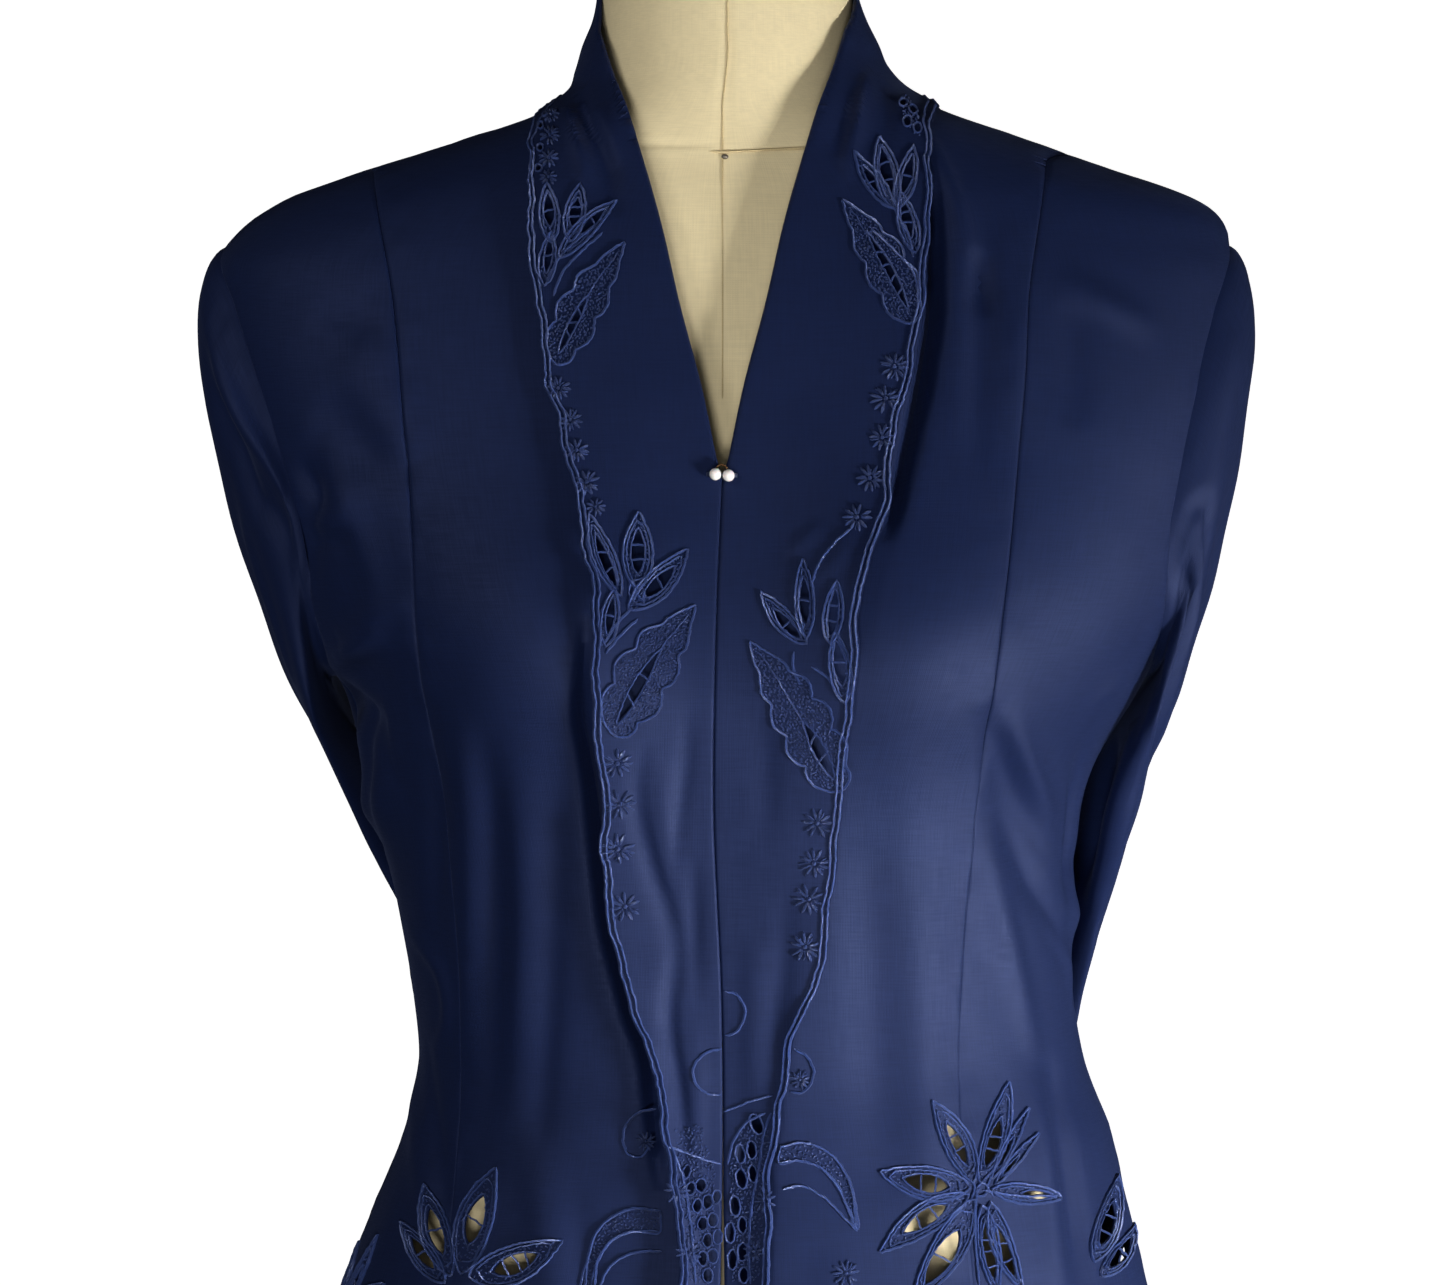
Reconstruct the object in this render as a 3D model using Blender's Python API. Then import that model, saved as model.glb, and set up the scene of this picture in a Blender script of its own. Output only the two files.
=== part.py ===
"""A kebaya, the long-sleeved peranakan blouse, on a limbless dress form with a round base.

The blouse is cut as two centre fronts, two side fronts, a back, two sleeves and a collar band in two halves,
whose ends fall to the hem as lapels. Two pearls fasten it. Sizes are in metres, with +Z up, the front of the
blouse towards -Y and the wearer's left towards +X. The origin is the middle of the underside of the base.

A turn is an angle round the body in degrees: 0 at the centre front, 90 at the wearer's left side, 180 at the
centre back and 270, or -90, at the wearer's right side. A turn and a height give a point of the blouse.
"""

import bmesh
import bpy
import numpy as np

# Cloth
WALL = 0.0012
SEAM_GAP = 0.0003
LEFT = 1
RIGHT = -1

# Rows and columns of the cloth pieces
SIDE_ROWS = 13
ARMHOLE_ROWS = 10
CLASP_ROWS = 3
CENTRE_COLUMNS = 6
SIDE_COLUMNS = 5
BACK_COLUMNS = 14
LAPEL_COLUMNS = 5
LAPEL_FRONT_ROWS = 19
LAPEL_OPEN_ROWS = 9
LAPEL_NECK_ROWS = 11
SLEEVE_CAP_ROWS = 7
SLEEVE_TUBE_ROWS = 9

# Bust of the blouse: how far it stands out, where its two peaks are, and how far they spread
BUST_OUT = 0.022
BUST_APART = 0.085
BUST_HEIGHT = 1.200
BUST_SPREAD = 0.060
BUST_RISE = 0.055

# Landmarks
HEM_FRONT = 0.778
HEM_PRINCESS = 0.838
HEM_BACK = 0.845
UNDERARM = 1.190
CLASP = 1.268
COLLAR_START = 1.406
BACK_UNDERARM = 1.160
BACK_SHOULDER = 1.335
BACK_NECK = 1.447

# Shoulder seam as turns and heights: tip, princess seam and neck, with a point between each two
SHOULDER_TIP = (86.0, 1.369)
SHOULDER_OUTER = (85.6, 1.390)
SHOULDER_PRINCESS = (85.1, 1.4085)
SHOULDER_INNER = (84.5, 1.424)
SHOULDER_NECK = (84.0, 1.436)

# Lapel: its clearance at the folded edge, at the free edge in front, and at the free edge round the neck
LAPEL_FOLD_GAP = 0.0012
LAPEL_FREE_GAP = 0.0034
COLLAR_FREE_GAP = 0.0018

# Sleeves: clearance at the armhole seam, and how far the cap swells out of it
SLEEVE_SEAM = 0.0003
CAP_SWELL_TOP = 0.090
CAP_SWELL_FRONT = 0.085
CAP_SWELL_UNDERARM = 0.030
CAP_RISE = 0.010
CAP_TOP_DROP = 0.030

# Clasp
PEARL_RADIUS = 0.00245
PEARL_LEFT = (0.0024, 1.2701)
PEARL_RIGHT = (-0.0028, 1.2706)
PEARL_SEAT = 0.0007

# Dress form and stand
FORM_POINTS = 36
FORM_BUST_OUT = 0.018
ARM_PLATE = 0.178
FORM_BOTTOM = 0.745
FORM_TOP = 1.515
POLE_RADIUS = 0.0125
BASE_HEIGHT = 0.020
SEAT = 0.0003


def table(columns, *rows):
    """Give a short table as one array for each named column."""
    return dict(zip(columns.split(), np.array(rows, dtype=float).T))


# Level sections of the blouse: half widths to the left and right, depths to the front and back
BODY = table(
    "z left right front back square",
    (0.760, 0.199, 0.189, 0.131, 0.151, 2.25),
    (0.850, 0.192, 0.182, 0.127, 0.146, 2.25),
    (0.933, 0.1775, 0.160, 0.118, 0.130, 2.25),
    (0.970, 0.169, 0.145, 0.112, 0.118, 2.25),
    (1.000, 0.162, 0.133, 0.107, 0.107, 2.25),
    (1.028, 0.151, 0.1275, 0.105, 0.100, 2.25),
    (1.053, 0.1465, 0.129, 0.106, 0.100, 2.25),
    (1.100, 0.147, 0.137, 0.111, 0.104, 2.25),
    (1.150, 0.154, 0.150, 0.116, 0.109, 2.25),
    (1.185, 0.175, 0.160, 0.118, 0.112, 2.30),
    (1.220, 0.193, 0.179, 0.115, 0.114, 2.40),
    (1.260, 0.203, 0.193, 0.108, 0.116, 2.50),
    (1.300, 0.210, 0.204, 0.098, 0.116, 2.50),
    (1.340, 0.2140, 0.2115, 0.086, 0.112, 2.35),
    (1.366, 0.2135, 0.2105, 0.077, 0.106, 2.20),
    (1.389, 0.1990, 0.1825, 0.068, 0.098, 2.10),
    (1.403, 0.1600, 0.1445, 0.063, 0.092, 2.05),
    (1.4165, 0.1210, 0.1005, 0.060, 0.085, 2.00),
    (1.425, 0.0960, 0.0765, 0.059, 0.080, 2.00),
    (1.433, 0.0790, 0.0640, 0.058, 0.074, 2.00),
    (1.443, 0.0680, 0.0597, 0.057, 0.068, 2.00),
    (1.453, 0.0633, 0.0567, 0.056, 0.064, 2.00),
    (1.463, 0.0585, 0.0525, 0.056, 0.0615, 2.00),
    (1.475, 0.0545, 0.0502, 0.055, 0.059, 2.00),
    (1.495, 0.0530, 0.0500, 0.054, 0.057, 2.00),
)

# Where the left and right fronts meet below the clasp, and how far each stands back near the hem
CENTRE_FRONT = table(
    "z x open",
    (0.760, 0.0000, 0.0070),
    (0.850, 0.0000, 0.0040),
    (0.947, 0.0000, 0.0008),
    (1.060, -0.0004, 0.0000),
    (1.140, -0.0036, 0.0000),
    (1.200, -0.0028, 0.0000),
    (1.268, 0.0000, 0.0000),
)

# Folded edge of the lapels above the clasp, up to the side of the neck
NECK_EDGE = table(
    "z x",
    (1.276, 0.0022),
    (1.306, 0.0084),
    (1.339, 0.0170),
    (1.375, 0.0252),
    (1.403, 0.0330),
    (1.4216, 0.0385),
    (1.440, 0.0450),
    (1.457, 0.0500),
)
COLLAR_TOP = ((90.0, 1.478), (135.0, 1.485), (180.0, 1.488))

# Seam of the front under the collar, from the neckline to the shoulder
UNDER_COLLAR = ((24.0, 1.4170), (44.0, 1.4290), (64.0, 1.4345), SHOULDER_NECK)

# Free, scalloped edge of the lapels, up to the shoulder
LAPEL_EDGE = table(
    "z left right",
    (0.7865, 0.0235, 0.0235),
    (0.870, 0.0195, 0.0190),
    (0.949, 0.0180, 0.0168),
    (0.970, 0.0195, 0.0185),
    (0.997, 0.0205, 0.0217),
    (1.015, 0.0225, 0.0247),
    (1.030, 0.0250, 0.0272),
    (1.043, 0.0270, 0.0290),
    (1.054, 0.0300, 0.0345),
    (1.068, 0.0369, 0.0372),
    (1.085, 0.0397, 0.0425),
    (1.110, 0.0440, 0.0455),
    (1.145, 0.0471, 0.0477),
    (1.171, 0.0512, 0.0506),
    (1.205, 0.0532, 0.0520),
    (1.228, 0.0560, 0.0532),
    (1.245, 0.0634, 0.0553),
    (1.269, 0.0675, 0.0612),
    (1.294, 0.0722, 0.0676),
    (1.323, 0.0781, 0.0727),
    (1.349, 0.0822, 0.0767),
    (1.381, 0.0836, 0.0783),
    (1.407, 0.0841, 0.0783),
    (1.4185, 0.0826, 0.0772),
)
COLLAR_FALL = ((87.0, 1.4265), (120.0, 1.413), (150.0, 1.404), (180.0, 1.400))

# Princess seams, from the hem to the shoulder
PRINCESS = table(
    "z left right",
    (0.838, 0.1130, 0.1240),
    (0.950, 0.1000, 0.1120),
    (1.020, 0.0950, 0.1065),
    (1.080, 0.0970, 0.1070),
    (1.124, 0.1010, 0.1120),
    (1.185, 0.1085, 0.1210),
    (1.2605, 0.1150, 0.1240),
    (1.346, 0.1230, 0.1270),
    (1.380, 0.1290, 0.1330),
)

ARMHOLE_FRONT = ((90.0, 1.190), (74.0, 1.199), (64.0, 1.224), (59.8, 1.252), (59.5, 1.278),
                 (61.5, 1.306), (67.0, 1.338), (75.5, 1.359), SHOULDER_TIP)
ARMHOLE_BACK = ((90.0, 1.190), (104.0, 1.199), (113.0, 1.228), (115.5, 1.270), (113.0, 1.312),
                (106.0, 1.346), (97.0, 1.362), SHOULDER_TIP)

# Sleeves hang flattened: the front and back edge of each level section, and half its thickness
SLEEVE_LEFT = table(
    "z front_x front_y back_x back_y thin",
    (0.856, 0.116, 0.145, 0.006, 0.167, 0.0110),
    (0.910, 0.130, 0.125, 0.018, 0.161, 0.0110),
    (0.970, 0.144, 0.096, 0.035, 0.157, 0.0105),
    (1.030, 0.151, 0.062, 0.066, 0.154, 0.0100),
    (1.070, 0.157, 0.034, 0.096, 0.150, 0.0100),
    (1.120, 0.1665, -0.002, 0.134, 0.139, 0.0100),
    (1.160, 0.1760, -0.034, 0.163, 0.115, 0.0100),
)
SLEEVE_RIGHT = table(
    "z front_x front_y back_x back_y thin",
    (0.856, 0.112, 0.142, 0.006, 0.167, 0.0110),
    (0.910, 0.119, 0.126, 0.016, 0.162, 0.0110),
    (0.970, 0.124, 0.102, 0.029, 0.157, 0.0105),
    (1.030, 0.127, 0.070, 0.050, 0.148, 0.0100),
    (1.079, 0.134, 0.052, 0.072, 0.150, 0.0085),
    (1.1235, 0.152, 0.020, 0.107, 0.146, 0.0070),
    (1.165, 0.1670, -0.030, 0.1530, 0.117, 0.0065),
)

# Level sections of the dress form
FORM = table(
    "z middle half front back square",
    (0.745, 0.000, 0.168, 0.108, 0.128, 2.2),
    (0.800, 0.000, 0.176, 0.112, 0.136, 2.2),
    (0.860, 0.000, 0.172, 0.112, 0.134, 2.2),
    (0.933, 0.000, 0.150, 0.104, 0.119, 2.2),
    (0.970, 0.000, 0.137, 0.099, 0.107, 2.2),
    (1.000, 0.000, 0.124, 0.095, 0.097, 2.2),
    (1.028, 0.000, 0.118, 0.092, 0.091, 2.2),
    (1.053, 0.000, 0.119, 0.093, 0.091, 2.2),
    (1.100, 0.000, 0.127, 0.098, 0.095, 2.2),
    (1.150, 0.000, 0.140, 0.104, 0.100, 2.2),
    (1.185, 0.000, 0.150, 0.105, 0.104, 2.2),
    (1.220, 0.000, 0.161, 0.102, 0.107, 2.2),
    (1.260, 0.000, 0.172, 0.095, 0.109, 2.2),
    (1.300, 0.000, 0.180, 0.086, 0.110, 2.2),
    (1.340, 0.000, 0.184, 0.075, 0.106, 2.2),
    (1.366, 0.000, 0.184, 0.067, 0.100, 2.1),
    (1.389, 0.000, 0.170, 0.059, 0.093, 2.05),
    (1.403, 0.000, 0.1380, 0.054, 0.087, 2.0),
    (1.4165, 0.000, 0.0925, 0.0520, 0.080, 2.0),
    (1.425, 0.000, 0.0695, 0.0515, 0.074, 2.0),
    (1.433, 0.001, 0.0600, 0.0515, 0.068, 2.0),
    (1.443, 0.002, 0.0560, 0.0515, 0.0625, 2.0),
    (1.460, 0.002, 0.0535, 0.051, 0.0565, 2.0),
    (1.475, 0.002, 0.0525, 0.0505, 0.054, 2.0),
    (1.500, 0.002, 0.0520, 0.050, 0.052, 2.0),
    (1.515, 0.002, 0.0520, 0.0495, 0.0515, 2.0),
)

# Turned pieces, from the bottom up; the neck cap's heights start at its seat
NECK_CAP = table(
    "radius z",
    (0.051, 0.000),
    (0.053, 0.002),
    (0.053, 0.007),
    (0.047, 0.011),
    (0.033, 0.014),
)
BASE = table(
    "radius z",
    (0.188, 0.000),
    (0.190, 0.002),
    (0.190, 0.009),
    (0.186, 0.014),
    (0.066, 0.018),
    (0.038, BASE_HEIGHT),
)


def through(knots, values, at):
    """Read a smooth curve through a table's column; a row's slope comes from its two neighbours."""
    steps = np.diff(knots)
    slopes = np.diff(values) / steps
    inner = (steps[1:] * slopes[:-1] + steps[:-1] * slopes[1:]) / (steps[:-1] + steps[1:])
    tangents = np.concatenate((slopes[:1], inner, slopes[-1:]))
    at = np.clip(at, knots[0], knots[-1])
    i = np.clip(np.searchsorted(knots, at) - 1, 0, len(steps) - 1)
    t = (at - knots[i]) / steps[i]
    rise = t * t * (3 - 2 * t)
    leave = t * (1 - t) ** 2 * steps[i]
    arrive = t * t * (t - 1) * steps[i]
    return (1 - rise) * values[i] + rise * values[i + 1] + leave * tangents[i] + arrive * tangents[i + 1]


def read(rows, column, z):
    """Read one column of a table at the heights z."""
    return through(rows["z"], rows[column], z)


def unit(vectors):
    """Give vectors of length 1."""
    return vectors / np.linalg.norm(vectors, axis=-1, keepdims=True)


def bust(x, z, out):
    """Give how far the bust stands out of a level section."""
    peaks = sum(np.exp(-((x - side * BUST_APART) / BUST_SPREAD) ** 2) for side in (LEFT, RIGHT))
    return out * peaks * np.exp(-((z - BUST_HEIGHT) / BUST_RISE) ** 2)


def section(turn, z, left, right, front, back, square, bust_out):
    """Give points of a level section: a rounded square with its own half width or depth each way."""
    across = np.sin(np.radians(turn))
    ahead = np.cos(np.radians(turn))
    reach = (np.abs(across) ** square + np.abs(ahead) ** square) ** (-1 / square)
    x = np.where(across >= 0, left, right) * across * reach
    y = -np.where(ahead >= 0, front, back) * ahead * reach
    y = y - bust(x, z, bust_out) * np.maximum(ahead, 0)
    return np.stack((x, y, z + 0 * x), axis=-1)


def body_point(turn, z):
    """Give points of the blouse's outer face."""
    names = ("left", "right", "front", "back", "square")
    return section(turn, z, *(read(BODY, name, z) for name in names), BUST_OUT)


def body_normal(turn, z):
    """Give the outward normals of the blouse's outer face."""
    small_turn = 0.05
    small_rise = 0.0002
    along = body_point(turn + small_turn, z) - body_point(turn - small_turn, z)
    up = body_point(turn, z + small_rise) - body_point(turn, z - small_rise)
    return unit(np.cross(along, up))


def turn_at(side, x, z):
    """Give the turn at which the front of a level section is x away from the middle."""
    square = read(BODY, "square", z)
    half = np.where(side * x >= 0, read(BODY, "left", z), read(BODY, "right", z))
    share = (np.abs(x) / half) ** square
    return side * np.sign(x) * np.degrees(np.arctan((share / (1 - share)) ** (1 / square)))


def at_x(side, rows, column="x"):
    """Turn a table of distances from the middle into points of turn and height on one side."""
    return np.stack((turn_at(side, rows[column], rows["z"]), rows["z"]), axis=-1)


def on_side(side, points):
    """Take points of turn and height from the left side to the given side."""
    return np.array(points) * (side, 1)


def spaced(points, count):
    """Space points evenly along a smooth line through the given points of turn and height."""
    turn, z = np.array(points).T
    lengths = np.linalg.norm(np.diff(body_point(turn, z), axis=0), axis=1)
    run = np.concatenate(([0], np.cumsum(lengths)))
    at = np.linspace(0, run[-1], count + 1)
    return np.stack((through(run, turn, at), through(run, z, at)), axis=-1)


def joined(*lines):
    """Join lines end to end, with each shared point once."""
    return np.concatenate([lines[0]] + [line[1:] for line in lines[1:]])


def between(inner, outer, columns):
    """Rule a grid of turn and height between two edges with the same number of rows."""
    share = np.linspace(0, 1, columns + 1)[None, :, None]
    return inner[:, None, :] * (1 - share) + outer[:, None, :] * share


def stretch(points, low, high):
    """Cut a rising line of turn and height to the heights from low to high."""
    turn, z = points.T
    inside = points[(z > low) & (z < high)]
    return np.concatenate(([[np.interp(low, z, turn), low]], inside, [[np.interp(high, z, turn), high]]))


def centre_line(side):
    """Give the front edge of one side, which rises from the hem point to the clasp."""
    rows = dict(CENTRE_FRONT)
    rows["x"] = side * rows["x"] + rows["open"]
    return at_x(side, rows)


def lapel_fold(side):
    """Give the folded edge of one lapel from the clasp to the side of the neck."""
    return np.concatenate((((0.0, CLASP),), at_x(side, NECK_EDGE)))


def neckline(side):
    """Give the seam of the front that the collar covers, from the clasp up to the shoulder."""
    fold = lapel_fold(side)
    return np.concatenate((fold[fold[:, 1] < COLLAR_START], on_side(side, UNDER_COLLAR)))


def shoulder_seam(side):
    """Give the shoulder seam of one side from its tip through the princess seam to the neck."""
    seam = (SHOULDER_TIP, SHOULDER_OUTER, SHOULDER_PRINCESS, SHOULDER_INNER, SHOULDER_NECK)
    tip, outer, split, inner, neck = on_side(side, seam)
    return joined(spaced((tip, outer, split), SIDE_COLUMNS), spaced((split, inner, neck), CENTRE_COLUMNS))


def princess(side):
    """Give the princess seam of one side from the hem to the shoulder seam."""
    points = at_x(side, PRINCESS, "left" if side == LEFT else "right")
    points = np.concatenate((points, on_side(side, (SHOULDER_PRINCESS,))))
    return joined(spaced(stretch(points, HEM_PRINCESS, UNDERARM), SIDE_ROWS),
                  spaced(stretch(points, UNDERARM, SHOULDER_PRINCESS[1]), ARMHOLE_ROWS))


def side_seam(side):
    """Give the side seam from the hem to the underarm."""
    return spaced(on_side(side, ((90.0, HEM_BACK), (90.0, 1.02), (90.0, UNDERARM))), SIDE_ROWS)


def armhole(side, points):
    """Give one half of an armhole from the underarm to the tip of the shoulder."""
    return spaced(on_side(side, points), ARMHOLE_ROWS)


def keep_seam_gap(outer, inner, gap):
    """Draw the four borders of a panel back from the seams by half the gap."""
    for axis in (0, 1):
        for border, next_line in ((0, 1), (-1, -2)):
            edge = np.take(outer, border, axis=axis)
            pull = unit(np.take(outer, next_line, axis=axis) - edge) * gap / 2
            place = (border, slice(None)) if axis == 0 else (slice(None), border)
            outer[place] += pull
            inner[place] += pull
    return outer, inner


def shell(name, outer, inner, colour, tube=False):
    """Make one closed wall from the grids of its outer and inner faces."""
    rows, columns = outer.shape[:2]
    mesh = bpy.data.meshes.new(name)
    shape = bmesh.new()
    skins = []
    for grid in (outer, inner):
        skins.append([[shape.verts.new(point) for point in row] for row in grid])
    spans = columns if tube else columns - 1
    for skin in skins:
        for i in range(rows - 1):
            for j in range(spans):
                k = (j + 1) % columns
                shape.faces.new((skin[i][j], skin[i][k], skin[i + 1][k], skin[i + 1][j]))
    borders = [[skin[0] for skin in skins], [skin[-1] for skin in skins]]
    for near, far in borders:
        for j in range(spans):
            k = (j + 1) % columns
            shape.faces.new((near[j], near[k], far[k], far[j]))
    if not tube:
        for j in (0, -1):
            for i in range(rows - 1):
                shape.faces.new((skins[0][i][j], skins[0][i + 1][j], skins[1][i + 1][j], skins[1][i][j]))
    bmesh.ops.recalc_face_normals(shape, faces=shape.faces)
    shape.to_mesh(mesh)
    shape.free()
    return place_object(name, mesh, colour)


def place_object(name, mesh, colour):
    """Put a mesh in the scene as a smooth-shaded object with its own material."""
    mesh.shade_smooth()
    mesh.set_sharp_from_angle(angle=np.radians(40))
    piece = bpy.data.objects.new(name, mesh)
    material = bpy.data.materials.new(name)
    material.use_nodes = True
    shader = material.node_tree.nodes["Principled BSDF"]
    shader.inputs["Base Color"].default_value = (*colour["linear"], 1)
    shader.inputs["Roughness"].default_value = colour["roughness"]
    shader.inputs["Metallic"].default_value = colour["metallic"]
    mesh.materials.append(material)
    bpy.context.scene.collection.objects.link(piece)
    return piece


def finish(red, green, blue, roughness, metallic=0.0):
    """Describe a finish by its screen colour, 0 to 255, and its gloss."""
    screen = np.array((red, green, blue)) / 255
    linear = np.where(screen <= 0.04045, screen / 12.92, ((screen + 0.055) / 1.055) ** 2.4)
    return {"linear": tuple(linear), "roughness": roughness, "metallic": metallic}


NAVY = finish(27, 35, 72, 0.78)
NAVY_BAND = finish(24, 31, 66, 0.75)
PEARL = finish(236, 232, 222, 0.18)
CANVAS = finish(205, 185, 140, 0.85)
CAP_WOOD = finish(150, 108, 66, 0.50)
STEEL = finish(176, 178, 180, 0.30, 1.0)
PAINT = finish(46, 46, 48, 0.45)


def panel(name, grid, colour=NAVY):
    """Make a body panel whose outer face lies on the body."""
    turn, z = grid[..., 0], grid[..., 1]
    outer = body_point(turn, z)
    inner = outer - WALL * body_normal(turn, z)
    return shell(name, *keep_seam_gap(outer, inner, SEAM_GAP), colour)


def build_fronts(side, label):
    """Make the centre front and side front of one side."""
    line = centre_line(side)
    front = joined(spaced(stretch(line, HEM_FRONT, UNDERARM), SIDE_ROWS),
                   spaced(stretch(line, UNDERARM, CLASP), CLASP_ROWS),
                   spaced(neckline(side), ARMHOLE_ROWS - CLASP_ROWS))
    seam = princess(side)
    outer = joined(side_seam(side), armhole(side, ARMHOLE_FRONT))
    shoulder = shoulder_seam(side)[::-1]
    centre = between(front, seam, CENTRE_COLUMNS)
    centre[-1] = shoulder[:CENTRE_COLUMNS + 1]
    panel("front_centre_" + label, centre)
    flank = between(seam, outer, SIDE_COLUMNS)
    flank[-1] = shoulder[CENTRE_COLUMNS:]
    panel("front_side_" + label, flank)


def back_half_edge(side):
    """Give the outer edge of the back on one side: side seam, armhole and shoulder seam."""
    return joined(side_seam(side), armhole(side, ARMHOLE_BACK), shoulder_seam(side))


def build_back():
    """Make the back in one piece, from the left side round to the right side."""
    left = back_half_edge(LEFT)
    right = back_half_edge(RIGHT)
    right[:, 0] += 360
    levels = ((HEM_BACK, BACK_UNDERARM, SIDE_ROWS), (BACK_UNDERARM, BACK_SHOULDER, ARMHOLE_ROWS),
              (BACK_SHOULDER, BACK_NECK, SIDE_COLUMNS + CENTRE_COLUMNS))
    middle = joined(*(np.linspace((180.0, low), (180.0, high), rows + 1) for low, high, rows in levels))
    half = BACK_COLUMNS // 2
    grid = np.concatenate((between(left, middle, half), between(middle, right, half)[:, 1:]), axis=1)
    panel("back", grid)


def build_lapel(side, label):
    """Make one half of the collar band, from the hem point round the neck to the centre back."""
    fold = lapel_fold(side)
    edge = at_x(side, LAPEL_EDGE, "left" if side == LEFT else "right")
    neck = np.concatenate((fold[-1:], on_side(side, COLLAR_TOP)))
    fall = np.concatenate((edge[-1:], on_side(side, COLLAR_FALL)))
    inner = joined(spaced(stretch(centre_line(side), HEM_FRONT, CLASP), LAPEL_FRONT_ROWS),
                   spaced(fold, LAPEL_OPEN_ROWS), spaced(neck, LAPEL_NECK_ROWS))
    outer = joined(spaced(stretch(edge, edge[0, 1], CLASP), LAPEL_FRONT_ROWS),
                   spaced(stretch(edge, CLASP, edge[-1, 1]), LAPEL_OPEN_ROWS),
                   spaced(fall, LAPEL_NECK_ROWS))
    grid = between(inner, outer, LAPEL_COLUMNS)
    turn, z = grid[..., 0], grid[..., 1]
    share = np.linspace(0, 1, LAPEL_COLUMNS + 1)[None, :, None]
    reach = np.arange(len(grid))[:, None, None]
    shoulder = LAPEL_FRONT_ROWS + LAPEL_OPEN_ROWS
    free = np.interp(reach, (LAPEL_FRONT_ROWS, shoulder), (LAPEL_FREE_GAP, COLLAR_FREE_GAP))
    lift = LAPEL_FOLD_GAP + (free - LAPEL_FOLD_GAP) * share ** 1.5
    normal = body_normal(turn, z)
    under = body_point(turn, z) + lift * normal
    top = under + WALL * normal
    shell("lapel_" + label, *keep_seam_gap(top, under, SEAM_GAP), NAVY_BAND)


def armhole_ring(side):
    """Give the armhole seam as a ring: shoulder tip, down the front, underarm and up the back."""
    front = armhole(side, ARMHOLE_FRONT)[::-1]
    back = armhole(side, ARMHOLE_BACK)
    ring = np.concatenate((front, back[1:-1]))
    turn, z = ring.T
    seam = body_point(turn, z)
    normal = body_normal(turn, z)
    towards = seam.mean(axis=0) - seam
    towards -= normal * np.sum(towards * normal, axis=-1, keepdims=True)
    return seam + SLEEVE_SEAM * unit(towards)


def sleeve_section(side, rows, z, around):
    """Give a level section of a hanging sleeve; around runs outer side, front, inner side, back."""
    front = np.array((side * read(rows, "front_x", z), read(rows, "front_y", z)))
    back = np.array((side * read(rows, "back_x", z), read(rows, "back_y", z)))
    wide = (front - back) / 2
    middle = (front + back) / 2
    outward = side * np.array((-wide[1], wide[0])) / np.linalg.norm(wide) * read(rows, "thin", z)
    level = middle + np.cos(around)[:, None] * outward + np.sin(around)[:, None] * wide
    return np.concatenate((level, np.full((len(around), 1), z)), axis=1)


def grid_normals(grid, middle):
    """Give the normals of a tube's grid, pointing away from the line through its middle."""
    around = np.roll(grid, -1, axis=1) - np.roll(grid, 1, axis=1)
    down = np.gradient(grid, axis=0)
    normal = unit(np.cross(around, down))
    outwards = np.sum(normal * (grid - middle), axis=(1, 2)) > 0
    return np.where(outwards[:, None, None], normal, -normal)


def build_sleeve(side, label, rows):
    """Make a set-in sleeve: its cap swells out of the armhole, and its empty tube hangs to the cuff."""
    ring = armhole_ring(side)
    count = len(ring)
    around = np.linspace(0, 2 * np.pi, count, endpoint=False)
    top = rows["z"][-1]
    first = sleeve_section(side, rows, top, around)
    fall = first - sleeve_section(side, rows, top - 0.01, around)
    fall = -unit(fall)
    span = np.linalg.norm(first - ring, axis=1, keepdims=True)
    upper = (1 + np.cos(around)) / 2
    swell = CAP_SWELL_FRONT * np.ones(count)
    swell = np.where(np.cos(around) > 0, swell + (CAP_SWELL_TOP - swell) * np.cos(around), swell)
    under = np.maximum(-np.cos(around), 0)
    swell = swell + (CAP_SWELL_UNDERARM - swell) * under
    leave = np.stack((side * swell, 0 * swell, CAP_RISE - CAP_TOP_DROP * upper), axis=-1)
    grid = []
    for t in np.linspace(0, 1, SLEEVE_CAP_ROWS + 1):
        rise = t * t * (3 - 2 * t)
        grid.append((1 - rise) * ring + rise * first + t * (1 - t) ** 2 * leave
                    + t * t * (t - 1) * fall * span)
    for z in np.linspace(top, rows["z"][0], SLEEVE_TUBE_ROWS + 1)[1:]:
        grid.append(sleeve_section(side, rows, z, around))
    outer = np.array(grid)
    middle = outer.mean(axis=1, keepdims=True)
    inner = outer - WALL * grid_normals(outer, middle)
    shell("sleeve_" + label, outer, inner, NAVY, tube=True)


def build_pearl(name, side, place):
    """Make one bead of the clasp, seated on the face of its lapel."""
    x, z = place
    turn = turn_at(side, side * x, np.array(z))
    face = body_point(turn, np.array(z)) + (LAPEL_FOLD_GAP + WALL) * body_normal(turn, np.array(z))
    mesh = bpy.data.meshes.new(name)
    shape = bmesh.new()
    bmesh.ops.create_uvsphere(shape, u_segments=20, v_segments=12, radius=PEARL_RADIUS)
    shape.to_mesh(mesh)
    shape.free()
    pearl = place_object(name, mesh, PEARL)
    pearl.location = (x, face[1] - PEARL_RADIUS - PEARL_SEAT, z)


def turned(name, radii, heights, points, colour):
    """Make a turned solid on the Z axis from the radii and heights of its profile, from the bottom up."""
    mesh = bpy.data.meshes.new(name)
    shape = bmesh.new()
    angles = np.linspace(0, 2 * np.pi, points, endpoint=False)
    rings = []
    for radius, z in zip(radii, heights):
        rings.append([shape.verts.new((radius * np.cos(a), radius * np.sin(a), z)) for a in angles])
    close_rings(shape, rings)
    shape.to_mesh(mesh)
    shape.free()
    return place_object(name, mesh, colour)


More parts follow.
